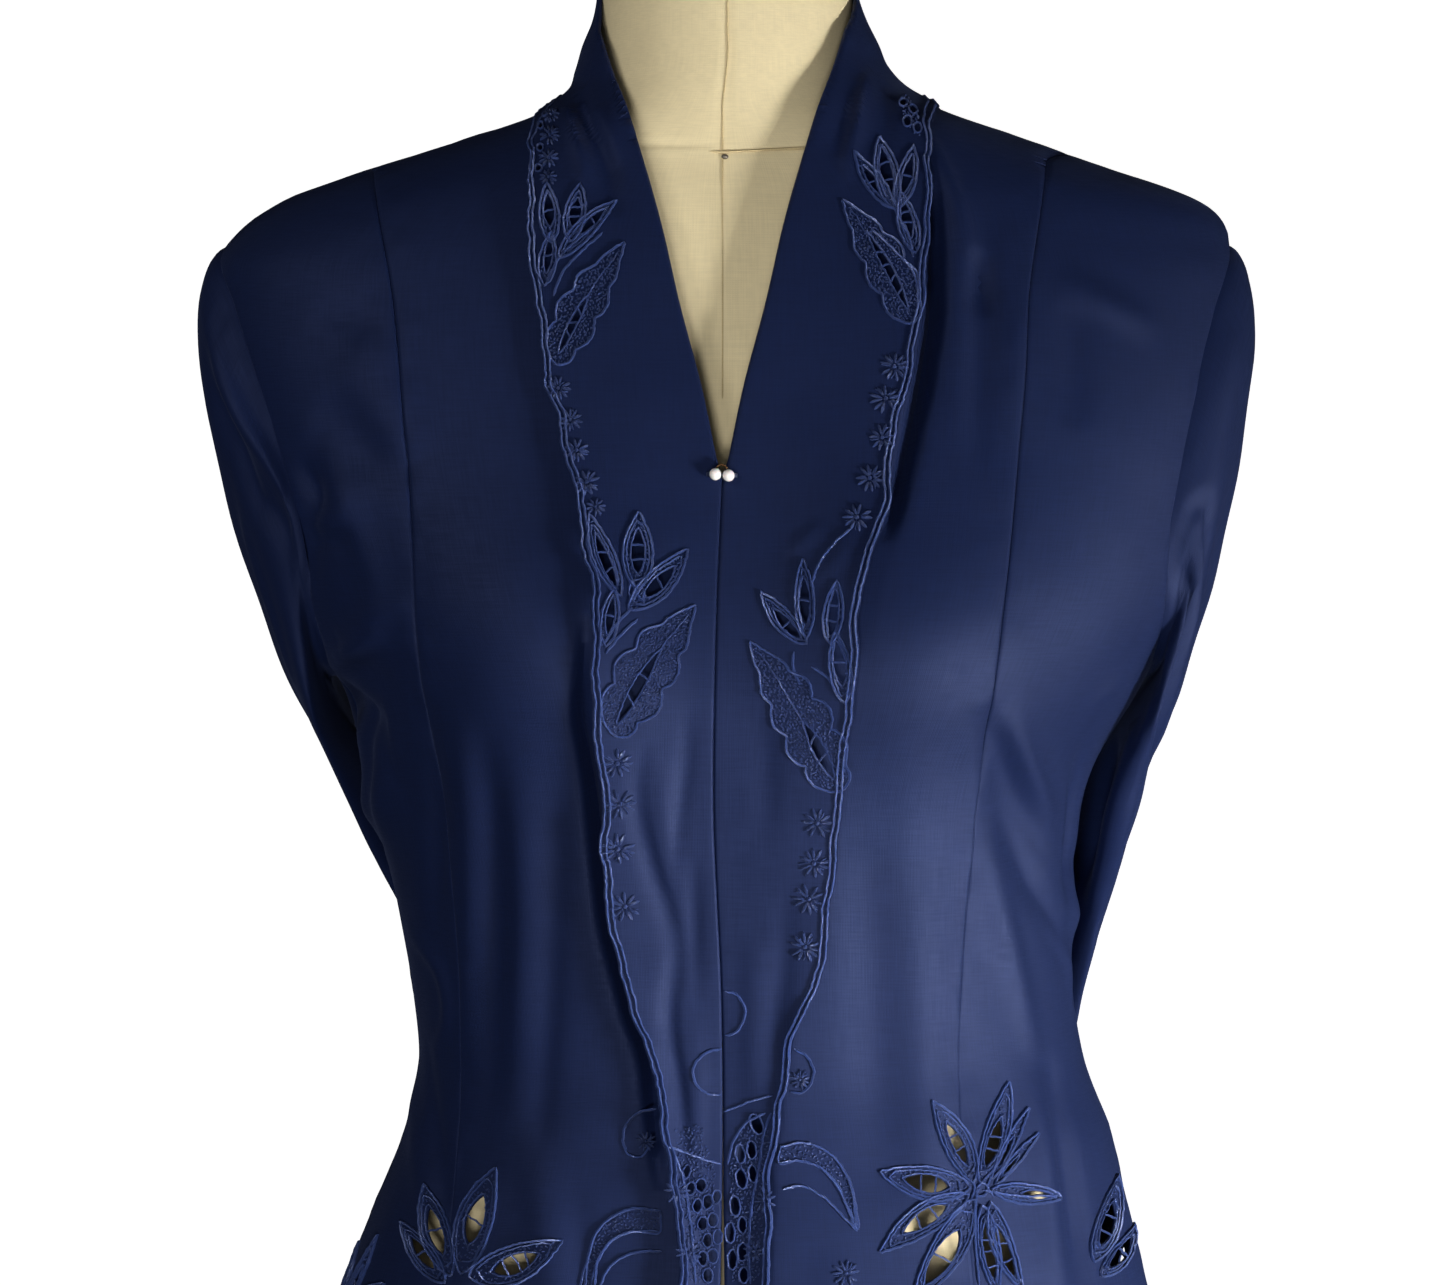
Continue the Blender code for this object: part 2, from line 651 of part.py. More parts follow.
def close_rings(shape, rings):
    """Join rings of vertices into a closed solid with flat ends."""
    for low, high in zip(rings[:-1], rings[1:]):
        for j in range(len(low)):
            k = (j + 1) % len(low)
            shape.faces.new((low[j], low[k], high[k], high[j]))
    shape.faces.new(rings[0])
    shape.faces.new(rings[-1])
    bmesh.ops.recalc_face_normals(shape, faces=shape.faces)


def build_form():
    """Make the limbless torso of the dress form, with flat plates in place of arms."""
    mesh = bpy.data.meshes.new("form_torso")
    shape = bmesh.new()
    turns = np.linspace(0, 360, FORM_POINTS, endpoint=False)
    names = ("half", "half", "front", "back", "square")
    rings = []
    for z in FORM["z"]:
        ring = section(turns, z, *(read(FORM, name, z) for name in names), FORM_BUST_OUT)
        ring[:, 0] = np.clip(ring[:, 0] + read(FORM, "middle", z), -ARM_PLATE, ARM_PLATE)
        rings.append([shape.verts.new(point) for point in ring])
    close_rings(shape, rings)
    shape.to_mesh(mesh)
    shape.free()
    place_object("form_torso", mesh, CANVAS)


def build_stand():
    """Make the neck cap, the pole and the round base of the dress form."""
    turned("form_neck_cap", NECK_CAP["radius"], FORM_TOP + SEAT + NECK_CAP["z"], 36, CAP_WOOD)
    turned("form_pole", (POLE_RADIUS, POLE_RADIUS), (BASE_HEIGHT + SEAT, FORM_BOTTOM - SEAT), 24, STEEL)
    turned("form_base", BASE["radius"], BASE["z"], 48, PAINT)


def main():
    """Empty the scene and build the blouse, its clasp, the dress form and the stand."""
    for old in list(bpy.data.objects):
        bpy.data.objects.remove(old, do_unlink=True)
    for side, label in ((LEFT, "left"), (RIGHT, "right")):
        build_fronts(side, label)
        build_lapel(side, label)
    build_back()
    build_sleeve(LEFT, "left", SLEEVE_LEFT)
    build_sleeve(RIGHT, "right", SLEEVE_RIGHT)
    build_pearl("pearl_left", LEFT, PEARL_LEFT)
    build_pearl("pearl_right", RIGHT, PEARL_RIGHT)
    build_form()
    build_stand()


main()
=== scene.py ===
"""Looks of a navy kebaya with cutwork lapels, worn on a canvas dress form with a pole and a round base.

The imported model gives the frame. Sizes are in metres, with +Z up, the front towards -Y and the wearer's left
towards +X. A turn is an angle round the body in degrees: 0 at the centre front, 90 at the wearer's left side,
180 at the centre back and 270, or -90, at the right side. A turn and a height give a point of the blouse.
Embroidery on the front is placed in millimetres as seen from straight ahead: across from the middle, and up.
"""

import logging
from collections.abc import Callable
from dataclasses import dataclass, field
from enum import Enum

import bmesh
import bpy
import numpy as np
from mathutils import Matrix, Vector
from mathutils.bvhtree import BVHTree
from mathutils.geometry import delaunay_2d_cdt


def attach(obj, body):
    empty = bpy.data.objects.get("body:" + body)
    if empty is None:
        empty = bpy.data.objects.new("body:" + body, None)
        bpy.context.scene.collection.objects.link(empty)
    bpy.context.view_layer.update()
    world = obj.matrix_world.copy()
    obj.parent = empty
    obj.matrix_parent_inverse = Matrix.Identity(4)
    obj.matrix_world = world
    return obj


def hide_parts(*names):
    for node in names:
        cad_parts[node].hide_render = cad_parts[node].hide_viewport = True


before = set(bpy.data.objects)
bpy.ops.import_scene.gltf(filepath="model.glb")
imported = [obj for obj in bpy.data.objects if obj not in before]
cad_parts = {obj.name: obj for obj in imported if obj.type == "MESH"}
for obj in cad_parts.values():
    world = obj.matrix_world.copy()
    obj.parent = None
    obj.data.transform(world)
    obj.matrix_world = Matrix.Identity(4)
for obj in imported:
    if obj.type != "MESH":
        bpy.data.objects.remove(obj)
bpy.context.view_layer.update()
LOG = logging.getLogger("kebaya")

Array = np.ndarray
Line = np.ndarray
Columns = dict[str, Array]
Colour = tuple[float, float, float]
Piece = bpy.types.Object
Material = bpy.types.Material
Tree = bpy.types.NodeTree
Node = bpy.types.Node
Socket = bpy.types.NodeSocket

MM = 0.001
# Flat metres for one degree of turn, used where cloth is cut out
FLAT = 0.0024


class Side(Enum):
    """Side of the wearer; the value is the sign of X."""

    LEFT = 1
    RIGHT = -1

    @property
    def label(self) -> str:
        """Give the side's name as it stands in piece names."""
        return self.name.lower()


def table(columns: str, *rows: tuple) -> Columns:
    """Give a table's rows as one array for each column, whose names have spaces between."""
    return dict(zip(columns.split(), np.array(rows, dtype=float).T))


def through(knots: Array, values: Array, at: Array) -> Array:
    """Read a smooth curve through given values.

    Args:
        knots: rising places of the values.
        values: the values there.
        at: the places to read.

    Returns:
        The curve's values at those places.
    """
    steps = np.diff(knots)
    slopes = np.diff(values) / steps
    inner = (steps[1:] * slopes[:-1] + steps[:-1] * slopes[1:]) / (steps[:-1] + steps[1:])
    tangents = np.concatenate((slopes[:1], inner, slopes[-1:]))
    at = np.clip(at, knots[0], knots[-1])
    i = np.clip(np.searchsorted(knots, at) - 1, 0, len(steps) - 1)
    t = (at - knots[i]) / steps[i]
    rise = t * t * (3 - 2 * t)
    leave = t * (1 - t) ** 2 * steps[i]
    arrive = t * t * (t - 1) * steps[i]
    return (1 - rise) * values[i] + rise * values[i + 1] + leave * tangents[i] + arrive * tangents[i + 1]


def read(rows: Columns, column: str, z: Array) -> Array:
    """Read one column of a table at the heights z."""
    return through(rows["z"], rows[column], z)


def unit(vectors: Array) -> Array:
    """Give vectors of length 1."""
    return vectors / np.maximum(np.linalg.norm(vectors, axis=-1, keepdims=True), 1e-12)


def bell(far: Array, wide: float) -> Array:
    """Give a bell curve, which is 1 where far is 0."""
    return np.exp(-((far / wide) ** 2))


def leftwards(ahead: Array) -> Array:
    """Give unit vectors of the plane a quarter turn to the left of the given ones."""
    return unit(np.stack((-ahead[:, 1], ahead[:, 0]), axis=-1))


def run_along(points: Line) -> Array:
    """Give the way gone along a line at each of its points."""
    return np.concatenate(([0], np.cumsum(np.linalg.norm(np.diff(points, axis=0), axis=1))))


def normals_of(point: Callable, turn: Array, z: Array, aside: float, above: float) -> Array:
    """Give the outward normals of a body from its neighbouring points, a step aside and a step above."""
    along = point(turn + aside, z) - point(turn - aside, z)
    return unit(np.cross(along, point(turn, z + above) - point(turn, z - above)))


def smooth_line(points: Line, count: int, closed: bool = False) -> Line:
    """Space points evenly along a smooth line through the given points.

    Args:
        points: points of the line, in two or three dimensions.
        count: number of points wanted.
        closed: whether the line ends where it starts.

    Returns:
        The evenly spaced points.
    """
    points = np.asarray(points, float)
    if closed:
        points = np.concatenate((points, points[:1]))
    run = run_along(points)
    keep = np.concatenate(([True], np.diff(run) > 1e-9))
    run, points = run[keep], points[keep]
    at = np.linspace(0, run[-1], count, endpoint=not closed)
    if len(run) < 3:
        return np.stack([np.interp(at, run, points[:, i]) for i in range(points.shape[1])], axis=-1)
    return np.stack([through(run, points[:, i], at) for i in range(points.shape[1])], axis=-1)


def joined(*lines: Line) -> Line:
    """Join lines end to end, with each shared point once."""
    return np.concatenate([lines[0]] + [line[1:] for line in lines[1:]])


def stretch(points: Line, low: float, high: float) -> Line:
    """Cut a rising line of turn and height to the heights from low to high."""
    turn, z = points.T
    inside = points[(z > low) & (z < high)]
    return np.concatenate(([[np.interp(low, z, turn), low]], inside, [[np.interp(high, z, turn), high]]))


def inside_loop(loop: Line, points: Line) -> Array:
    """Tell which points of the plane lie inside a loop of corners."""
    inside = np.zeros(len(points), bool)
    ax, ay = loop.T
    bx, by = np.roll(loop, -1, axis=0).T
    for i in np.flatnonzero(ay != by):
        crosses = (ay[i] > points[:, 1]) != (by[i] > points[:, 1])
        at = ax[i] + (points[:, 1] - ay[i]) * (bx[i] - ax[i]) / (by[i] - ay[i])
        inside ^= crosses & (points[:, 0] < at)
    return inside


@dataclass(frozen=True)
class BlouseShape:
    """Form of the blouse on its wearer, with the lines that its pieces are cut along."""

    bust_out: float = 0.022
    bust_apart: float = 0.085
    bust_height: float = 1.200
    bust_spread: float = 0.060
    bust_rise: float = 0.055
    hem_front: float = 0.778
    hem_princess: float = 0.838
    hem_back: float = 0.845
    underarm: float = 1.190
    clasp: float = 1.268
    collar_start: float = 1.406
    back_neck: float = 1.447
    shoulder: tuple = ((86.0, 1.369), (85.6, 1.390), (85.1, 1.4085), (84.5, 1.424), (84.0, 1.436))
    under_collar: tuple = ((24.0, 1.4170), (44.0, 1.4290), (64.0, 1.4345), (84.0, 1.436))
    collar_top: tuple = ((90.0, 1.478), (135.0, 1.485), (180.0, 1.488))
    collar_fall: tuple = ((87.0, 1.4292), (120.0, 1.415), (150.0, 1.405), (180.0, 1.400))
    armhole_front: tuple = ((90.0, 1.190), (74.0, 1.199), (64.0, 1.224), (59.8, 1.252), (59.5, 1.278),
                            (61.5, 1.306), (67.0, 1.338), (75.5, 1.359), (86.0, 1.369))
    armhole_back: tuple = ((90.0, 1.190), (104.0, 1.199), (113.0, 1.228), (115.5, 1.270), (113.0, 1.312),
                           (106.0, 1.346), (97.0, 1.362), (86.0, 1.369))
    body: Columns = field(default_factory=lambda: table(
        "z left right front back square",
        (0.76, 0.199, 0.189, 0.131, 0.151, 2.25), (0.85, 0.192, 0.182, 0.127, 0.146, 2.25),
        (0.933, 0.1775, 0.16, 0.118, 0.13, 2.25), (0.97, 0.169, 0.145, 0.112, 0.118, 2.25),
        (1, 0.162, 0.133, 0.107, 0.107, 2.25), (1.028, 0.151, 0.1275, 0.105, 0.1, 2.25),
        (1.053, 0.1465, 0.129, 0.106, 0.1, 2.25), (1.1, 0.147, 0.137, 0.111, 0.104, 2.25),
        (1.15, 0.154, 0.15, 0.116, 0.109, 2.25), (1.185, 0.175, 0.16, 0.118, 0.112, 2.3),
        (1.22, 0.193, 0.179, 0.115, 0.114, 2.4), (1.26, 0.203, 0.193, 0.108, 0.116, 2.5),
        (1.3, 0.21, 0.204, 0.098, 0.116, 2.5), (1.34, 0.214, 0.2115, 0.086, 0.112, 2.35),
        (1.366, 0.2135, 0.2105, 0.077, 0.106, 2.2), (1.389, 0.199, 0.1825, 0.068, 0.098, 2.1),
        (1.403, 0.16, 0.1445, 0.063, 0.092, 2.05), (1.4165, 0.121, 0.1005, 0.06, 0.085, 2),
        (1.425, 0.096, 0.0765, 0.059, 0.08, 2), (1.433, 0.079, 0.064, 0.058, 0.074, 2),
        (1.443, 0.068, 0.0597, 0.057, 0.068, 2), (1.453, 0.0633, 0.0567, 0.056, 0.064, 2),
        (1.463, 0.0585, 0.0525, 0.056, 0.0615, 2), (1.475, 0.0545, 0.0502, 0.055, 0.059, 2),
        (1.495, 0.053, 0.05, 0.054, 0.057, 2),
    ))
    centre: Columns = field(default_factory=lambda: table(
        "z x open",
        (0.76, 0, 0.007), (0.85, 0, 0.004), (0.947, 0, 0.0008), (1.06, -0.0004, 0), (1.14, -0.0036, 0),
        (1.2, -0.0028, 0), (1.268, 0, 0),
    ))
    neck_edge: Columns = field(default_factory=lambda: table(
        "z x",
        (1.276, 0.0022), (1.306, 0.0084), (1.339, 0.017), (1.375, 0.0252), (1.403, 0.033), (1.4216, 0.0385),
        (1.44, 0.045), (1.457, 0.05),
    ))
    lapel_edge: Columns = field(default_factory=lambda: table(
        "z left right",
        (0.7865, 0.0235, 0.0235), (0.87, 0.0195, 0.019), (0.949, 0.018, 0.0168), (0.97, 0.0195, 0.0185),
        (0.997, 0.0205, 0.0217), (1.015, 0.0225, 0.0247), (1.03, 0.025, 0.0272), (1.043, 0.027, 0.029),
        (1.054, 0.03, 0.0345), (1.068, 0.0369, 0.0372), (1.085, 0.0397, 0.0425), (1.11, 0.044, 0.0455),
        (1.145, 0.0471, 0.0477), (1.171, 0.0512, 0.0506), (1.205, 0.0532, 0.052), (1.228, 0.056, 0.0532),
        (1.245, 0.0634, 0.0553), (1.269, 0.0675, 0.0612), (1.294, 0.0722, 0.0676), (1.323, 0.0781, 0.0727),
        (1.349, 0.0822, 0.0767), (1.381, 0.0836, 0.0783), (1.407, 0.0841, 0.0783), (1.4185, 0.0826, 0.0772),
    ))
    seam: Columns = field(default_factory=lambda: table(
        "z left right",
        (0.838, 0.113, 0.124), (0.95, 0.1, 0.112), (1.02, 0.095, 0.1065), (1.08, 0.097, 0.107),
        (1.124, 0.101, 0.112), (1.185, 0.1085, 0.121), (1.2605, 0.1172, 0.1255), (1.31, 0.1222, 0.13),
        (1.346, 0.1248, 0.1345), (1.38, 0.1303, 0.1412), (1.402, 0.134, 0.1455),
    ))

    def section(self, turn: Array, z: Array, half: tuple, deep: tuple, square: Array,
                bust_out: float) -> Array:
        """Give points of a level section: a rounded square with its own half width or depth each way.

        Args:
            turn: angles round the body.
            z: heights.
            half: half widths to the left and to the right.
            deep: depths to the front and to the back.
            square: how square the section is, 2 for an ellipse.
            bust_out: how far the bust stands out.

        Returns:
            The points.
        """
        across = np.sin(np.radians(turn))
        ahead = np.cos(np.radians(turn))
        reach = (np.abs(across) ** square + np.abs(ahead) ** square) ** (-1 / square)
        x = np.where(across >= 0, half[0], half[1]) * across * reach
        y = -np.where(ahead >= 0, deep[0], deep[1]) * ahead * reach
        peaks = sum(bell(x - side.value * self.bust_apart, self.bust_spread) for side in Side)
        bust = bust_out * peaks * bell(z - self.bust_height, self.bust_rise)
        return np.stack((x, y - bust * np.maximum(ahead, 0), z + 0 * x), axis=-1)

    def point(self, turn: Array, z: Array) -> Array:
        """Give points of the blouse's outer face."""
        left, right, front, back, square = (read(self.body, name, z)
                                            for name in ("left", "right", "front", "back", "square"))
        return self.section(turn, z, (left, right), (front, back), square, self.bust_out)

    def normal(self, turn: Array, z: Array) -> Array:
        """Give the outward normals of the blouse's outer face."""
        return normals_of(self.point, turn, z, 0.05, 0.0002)

    def turn_at(self, x: Array, z: Array) -> Array:
        """Give the turn at which the front of a level section has the given x."""
        square = read(self.body, "square", z)
        half = np.where(x >= 0, read(self.body, "left", z), read(self.body, "right", z))
        share = np.minimum(np.abs(x) / half, 0.999) ** square
        return np.sign(x) * np.degrees(np.arctan((share / (1 - share)) ** (1 / square)))

    def at_x(self, side: Side, rows: Columns, column: str) -> Line:
        """Turn a table of distances from the middle into a line of turn and height on one side."""
        low, high = rows["z"][0], rows["z"][-1]
        z = np.linspace(low, high, max(2, round((high - low) / 0.003)))
        return np.stack((self.turn_at(side.value * read(rows, column, z), z), z), axis=-1)

    def on_side(self, side: Side, points: tuple) -> Line:
        """Take points of turn and height from the left side to the given side."""
        return np.array(points, float) * (side.value, 1)

    def even(self, points: Line, count: int) -> Line:
        """Cut a smooth line of turn and height into a number of steps, even on the cloth."""
        turn, z = np.array(points, float).T
        run = run_along(self.point(turn, z))
        at = np.linspace(0, run[-1], count + 1)
        return np.stack((through(run, turn, at), through(run, z, at)), axis=-1)

    def spaced(self, points: Line, gap: float) -> Line:
        """Space points about gap apart, measured on the cloth, along a smooth line of turn and height."""
        long = run_along(self.point(*np.array(points, float).T))[-1]
        return self.even(points, max(1, round(long / gap)))

    def centre_line(self, side: Side) -> Line:
        """Give the front edge of one side, which rises from the hem point to the clasp."""
        rows = dict(self.centre)
        rows["edge"] = side.value * rows["x"] + rows["open"]
        return self.at_x(side, rows, "edge")

    def fold(self, side: Side) -> Line:
        """Give the folded edge of one lapel from the clasp to the side of the neck."""
        return np.concatenate((((0.0, self.clasp),), self.at_x(side, self.neck_edge, "x")))

    def neckline(self, side: Side) -> Line:
        """Give the seam of the front that the collar covers, from the clasp up to the shoulder."""
        fold = self.fold(side)
        return np.concatenate((fold[fold[:, 1] < self.collar_start], self.on_side(side, self.under_collar)))

    def princess(self, side: Side) -> Line:
        """Give the princess seam of one side from the hem to the shoulder seam."""
        points = self.at_x(side, self.seam, side.label)
        return stretch(np.concatenate((points, self.on_side(side, self.shoulder[2:3]))),
                       self.hem_princess, self.shoulder[2][1])

    def side_seam(self, side: Side) -> Line:
        """Give the side seam from the hem to the underarm."""
        return self.on_side(side, ((90.0, self.hem_back), (90.0, 1.02), (90.0, self.underarm)))


SHAPE = BlouseShape()


@dataclass(frozen=True)
class Crease:
    """A soft ridge along a path, or a trough where its height is negative.

    The crease is skew times as wide on its right as on its left, as the path runs and as seen from outside.
    """

    wide: float
    high: float
    skew: float
    path: Line


def creases(*rows: tuple[float, ...]) -> list[Crease]:
    """Read creases from rows of width and height in millimetres, skew, and the path's places."""
    return [Crease(wide / 1000, high / 1000, skew, np.array(path, float).reshape(-1, 2))
            for wide, high, skew, *path in rows]


class CreaseField:
    """Height of all creases over a piece of cloth."""

    def __init__(self, laid: list[tuple[Line, Crease]], count: int = 12) -> None:
        """Keep each crease with its line in space, as so many points."""
        self.creases = [(smooth_line(line, count), crease) for line, crease in laid]

    def height(self, points: Array, normals: Array) -> Array:
        """Give the height of the creases at points of the smooth cloth.

        Args:
            points: places on the cloth.
            normals: the cloth's normals there.

        Returns:
            One height for each point, up where positive.
        """
        total = np.zeros(len(points))
        for line, crease in self.creases:
            reach = 3 * crease.wide * max(1, crease.skew)
            low, high = line.min(0) - reach, line.max(0) + reach
            near = np.flatnonzero(np.all((points > low) & (points < high), axis=1))
            if not len(near):
                continue
            here, up = points[near], normals[near]
            best = np.full(len(near), np.inf)
            place = np.zeros(len(near))
            side = np.zeros(len(near))
            for i in range(len(line) - 1):
                span = line[i + 1] - line[i]
                t = np.clip((here - line[i]) @ span / (span @ span), 0, 1)
                off = here - line[i] - t[:, None] * span
                far = np.linalg.norm(off, axis=1)
                closer = far < best
                best = np.where(closer, far, best)
                place = np.where(closer, (i + t) / (len(line) - 1), place)
                right = np.sum(np.cross(np.broadcast_to(span, off.shape), up) * off, axis=1)
                side = np.where(closer, right, side)
            wide = np.where(side > 0, crease.wide * crease.skew, crease.wide)
            fade = np.sin(np.pi * np.clip(place, 0, 1)) ** 0.8
            total[near] += crease.high * fade * bell(best, wide)
        return total


def ring_faces(rows: int, count: int, closed: bool = False, ends: bool = False, flip: bool = False) -> list:
    """Give the faces that join rings of points into a tube.

    Args:
        rows: number of rings.
        count: points of one ring.
        closed: whether the last ring joins the first.
        ends: whether the end rings are filled.
        flip: whether the faces look the other way.

    Returns:
        The faces as tuples of point numbers.
    """
    faces = []
    for i in range(rows if closed else rows - 1):
        here, there = i * count, (i + 1) % rows * count
        for j in range(count):
            k = (j + 1) % count
            face = (here + j, there + j, there + k, here + k)
            faces.append((face[0], *face[:0:-1]) if flip else face)
    if ends:
        low, high = tuple(range(count)), tuple(range((rows - 1) * count, rows * count))
        faces += [low[::-1], high] if flip else [low, high[::-1]]
    return faces


@dataclass
class Skin:
    """One side of a piece of cloth as a flat mesh of triangles with places of turn and height."""

    flat: Array
    faces: Array
    edge_far: Array

    @property
    def turn(self) -> Array:
        """Give the turn of each point."""
        return self.flat[:, 0] / FLAT

    @property
    def z(self) -> Array:
        """Give the height of each point."""
        return self.flat[:, 1]


def far_from(line: Line, points: Line, closed: bool = True) -> Array:
    """Give the flat distance of each point from a line of corners, or from a loop where closed."""
    ends = np.roll(line, -1, axis=0) if closed else line[1:]
    starts = line if closed else line[:-1]
    best = np.full(len(points), np.inf)
    for a, b in zip(starts, ends):
        span = b - a
        t = np.clip((points - a) @ span / max(span @ span, 1e-18), 0, 1)
        best = np.minimum(best, np.sum((points - a - t[:, None] * span) ** 2, axis=1))
    return np.sqrt(best)


def inset(loop: Line, gap: float) -> Line:
    """Draw a loop in by a gap, and leave out the points that would come too near to its other parts."""
    ahead = np.roll(loop, -1, axis=0) - np.roll(loop, 1, axis=0)
    across = leftwards(ahead)
    area = np.sum(loop[:, 0] * np.roll(loop[:, 1], -1) - loop[:, 1] * np.roll(loop[:, 0], -1))
    moved = loop + across * gap * np.sign(area)
    keep = inside_loop(loop, moved) & (far_from(loop, moved) > 0.8 * gap)
    return moved[keep]


# Above this height the shoulders are steep, and rows of points are as many gaps apart as the last value says
STEEP_ABOVE = 1.388
ROW_GAP = 0.866
STEEP_ROW_GAP = 0.4


def cut_flat(outline: Line, holes: list[Line], gap: float, rims: tuple[float, ...] = (),
             rows: tuple[Line, ...] = ()) -> Skin:
    """Cut a piece of cloth out of the flat and fill it with triangles.

    Args:
        outline: the loop of its edge, evenly spaced.
        holes: loops of the holes; one may cross the outline.
        gap: spacing of the points inside.
        rims: distances from the edge at which rows of points follow it.
        rows: further rows of points, which sharp folds need.

    Returns:
        The flat mesh.
    """
    low, high = outline.min(axis=0), outline.max(axis=0)
    across = np.arange(low[0], high[0] + gap, gap)
    steep = min(max(STEEP_ABOVE, low[1]), high[1])
    up = np.concatenate((np.arange(low[1], steep, gap * ROW_GAP),
                         np.arange(steep, high[1] + gap, gap * STEEP_ROW_GAP)))
    grid = np.stack(np.meshgrid(across, up), axis=-1)
    grid[1::2, :, 0] += gap / 2
    grid = grid.reshape(-1, 2)
    grid = grid[inside_loop(outline, grid)]
    clear = (rims[-1] if rims else 0) + 0.6 * gap
    grid = grid[far_from(outline, grid) > clear]
    bands = [inset(outline, rim) for rim in rims]
    for row in rows:
        row = row[inside_loop(outline, row)]
        row = row[far_from(outline, row) > clear]
        if len(row) > 1:
            grid = grid[far_from(row, grid, False) > 0.4 * gap]
            bands.append(row)
    loops = [outline]
    for hole in holes:
        near = np.all((hole.max(0) > low) & (hole.min(0) < high))
        if near and inside_loop(outline, hole).any():
            loops.append(hole)
            around = np.all((grid > hole.min(0) - gap) & (grid < hole.max(0) + gap), axis=1)
            drop = np.zeros(len(grid), bool)
            drop[around] = (far_from(hole, grid[around]) < 0.45 * gap) | inside_loop(hole, grid[around])
            grid = grid[~drop]
            bands = [band[(far_from(hole, band) > 0.3 * gap) & ~inside_loop(hole, band)] for band in bands]
    points, edges, start = [], [], 0
    for loop in loops:
        points.append(loop)
        ring = np.arange(len(loop)) + start
        edges.extend(zip(ring.tolist(), np.roll(ring, -1).tolist()))
        start += len(loop)
    points.extend(bands + [grid])
    flat = np.concatenate(points)
    vertices, _, faces, *_ = delaunay_2d_cdt([Vector(p) for p in flat], edges, [], 0, 1e-7)
    vertices = np.array([tuple(v) for v in vertices])
    faces = np.array([face for face in faces if len(face) == 3])
    middles = vertices[faces].mean(axis=1)
    keep = inside_loop(outline, middles)
    for hole in loops[1:]:
        keep &= ~inside_loop(hole, middles)
    corner = vertices[faces]
    one, two = corner[:, 1] - corner[:, 0], corner[:, 2] - corner[:, 0]
    area = one[:, 0] * two[:, 1] - one[:, 1] * two[:, 0]
    keep &= np.abs(area) > 1e-12
    faces, area = faces[keep], area[keep]
    faces[area < 0] = faces[area < 0][:, ::-1]
    used = np.unique(faces)
    renumber = np.full(len(vertices), -1)
    renumber[used] = np.arange(len(used))
    vertices, faces = vertices[used], renumber[faces]
    return Skin(vertices, faces, far_from(outline, vertices))


@dataclass
class Soup:
    """Mesh data collected from many small parts, each with flat places for its texture."""

    points: list[Array] = field(default_factory=list)
    faces: list[list[tuple[int, ...]]] = field(default_factory=list)
    places: list[Array] = field(default_factory=list)
    count: int = 0

    def add(self, points: Array, faces: list, places: Array) -> None:
        """Add one part, whose faces are numbered from its own first point, with its flat places in metres."""
        self.points.append(points)
        self.places.append(places)
        self.faces.append([tuple(int(i) + self.count for i in face) for face in faces])
        self.count += len(points)

    def build(self, name: str, material: Material, sharp: float = 60.0) -> Piece:
        """Make a piece of everything collected."""
        points, places = np.concatenate(self.points), np.concatenate(self.places)
        return make_piece(name, points, sum(self.faces, []), places, material, sharp)


def make_piece(name: str, points: Array, faces: list, places: Array,
               material: Material, sharp: float = 60.0) -> Piece:
    """Make a smooth-shaded object from points and faces.

    Args:
        name: the piece's name.
        points: its vertices.
        faces: its faces.
        places: flat places in metres, kept as the map named Flat.
        material: its finish.
        sharp: angle in degrees above which an edge stays sharp.

    Returns:
        The new object.
    """
    mesh = bpy.data.meshes.new(name)
    mesh.from_pydata(points.tolist(), [], [tuple(int(i) for i in face) for face in faces])
    mesh.validate()
    layer = mesh.uv_layers.new(name="Flat")
    corners = np.empty(len(mesh.loops), dtype=np.int32)
    mesh.loops.foreach_get("vertex_index", corners)
    layer.data.foreach_set("uv", places[corners].astype(np.float32).ravel())
    mesh.materials.append(material)
    mesh.shade_smooth()
    mesh.set_sharp_from_angle(angle=np.radians(sharp))
    piece = bpy.data.objects.new(name, mesh)
    bpy.context.scene.collection.objects.link(piece)
    return piece


def close_skin(outer: Array, inner: Array, faces: Array) -> tuple[Array, list]:
    """Join an outer and an inner skin with walls along every free edge.

    Args:
        outer: points of the outer skin.
        inner: points of the inner skin, in the same order.
        faces: triangles of the outer skin.

    Returns:
        All points and all faces of the closed sheet.
    """
    count = len(outer)
    sides = np.concatenate((faces[:, (0, 1)], faces[:, (1, 2)], faces[:, (2, 0)]))
    known = {(int(a), int(b)) for a, b in sides}
    walls = [(a, b) for a, b in known if (b, a) not in known]
    walls.sort()
    every = [tuple(face) for face in faces.tolist()]
    every += [tuple(i + count for i in reversed(face)) for face in faces.tolist()]
    every += [(b, a, a + count, b + count) for a, b in walls]
    return np.concatenate((outer, inner)), every


def face_outwards(piece: Piece) -> Piece:
    """Turn the faces of a closed piece outwards."""
    shape = bmesh.new()
    shape.from_mesh(piece.data)
    bmesh.ops.recalc_face_normals(shape, faces=shape.faces)
    shape.to_mesh(piece.data)
    shape.free()
    return piece


def loose_noise(points: Array, size: float, seed: int) -> Array:
    """Give a smooth wandering value from -1 to 1 that changes over about the given size."""
    draw = np.random.default_rng(seed)
    total = np.zeros(len(points))
    for _ in range(7):
        way = draw.normal(size=3)
        way *= 2 * np.pi / size * draw.uniform(0.5, 1.3) / np.linalg.norm(way)
        total += np.sin(points @ way + draw.uniform(0, 2 * np.pi))
    return total / 4.5


# Share of its size that an open cord keeps at its ends
CORD_END = 0.35


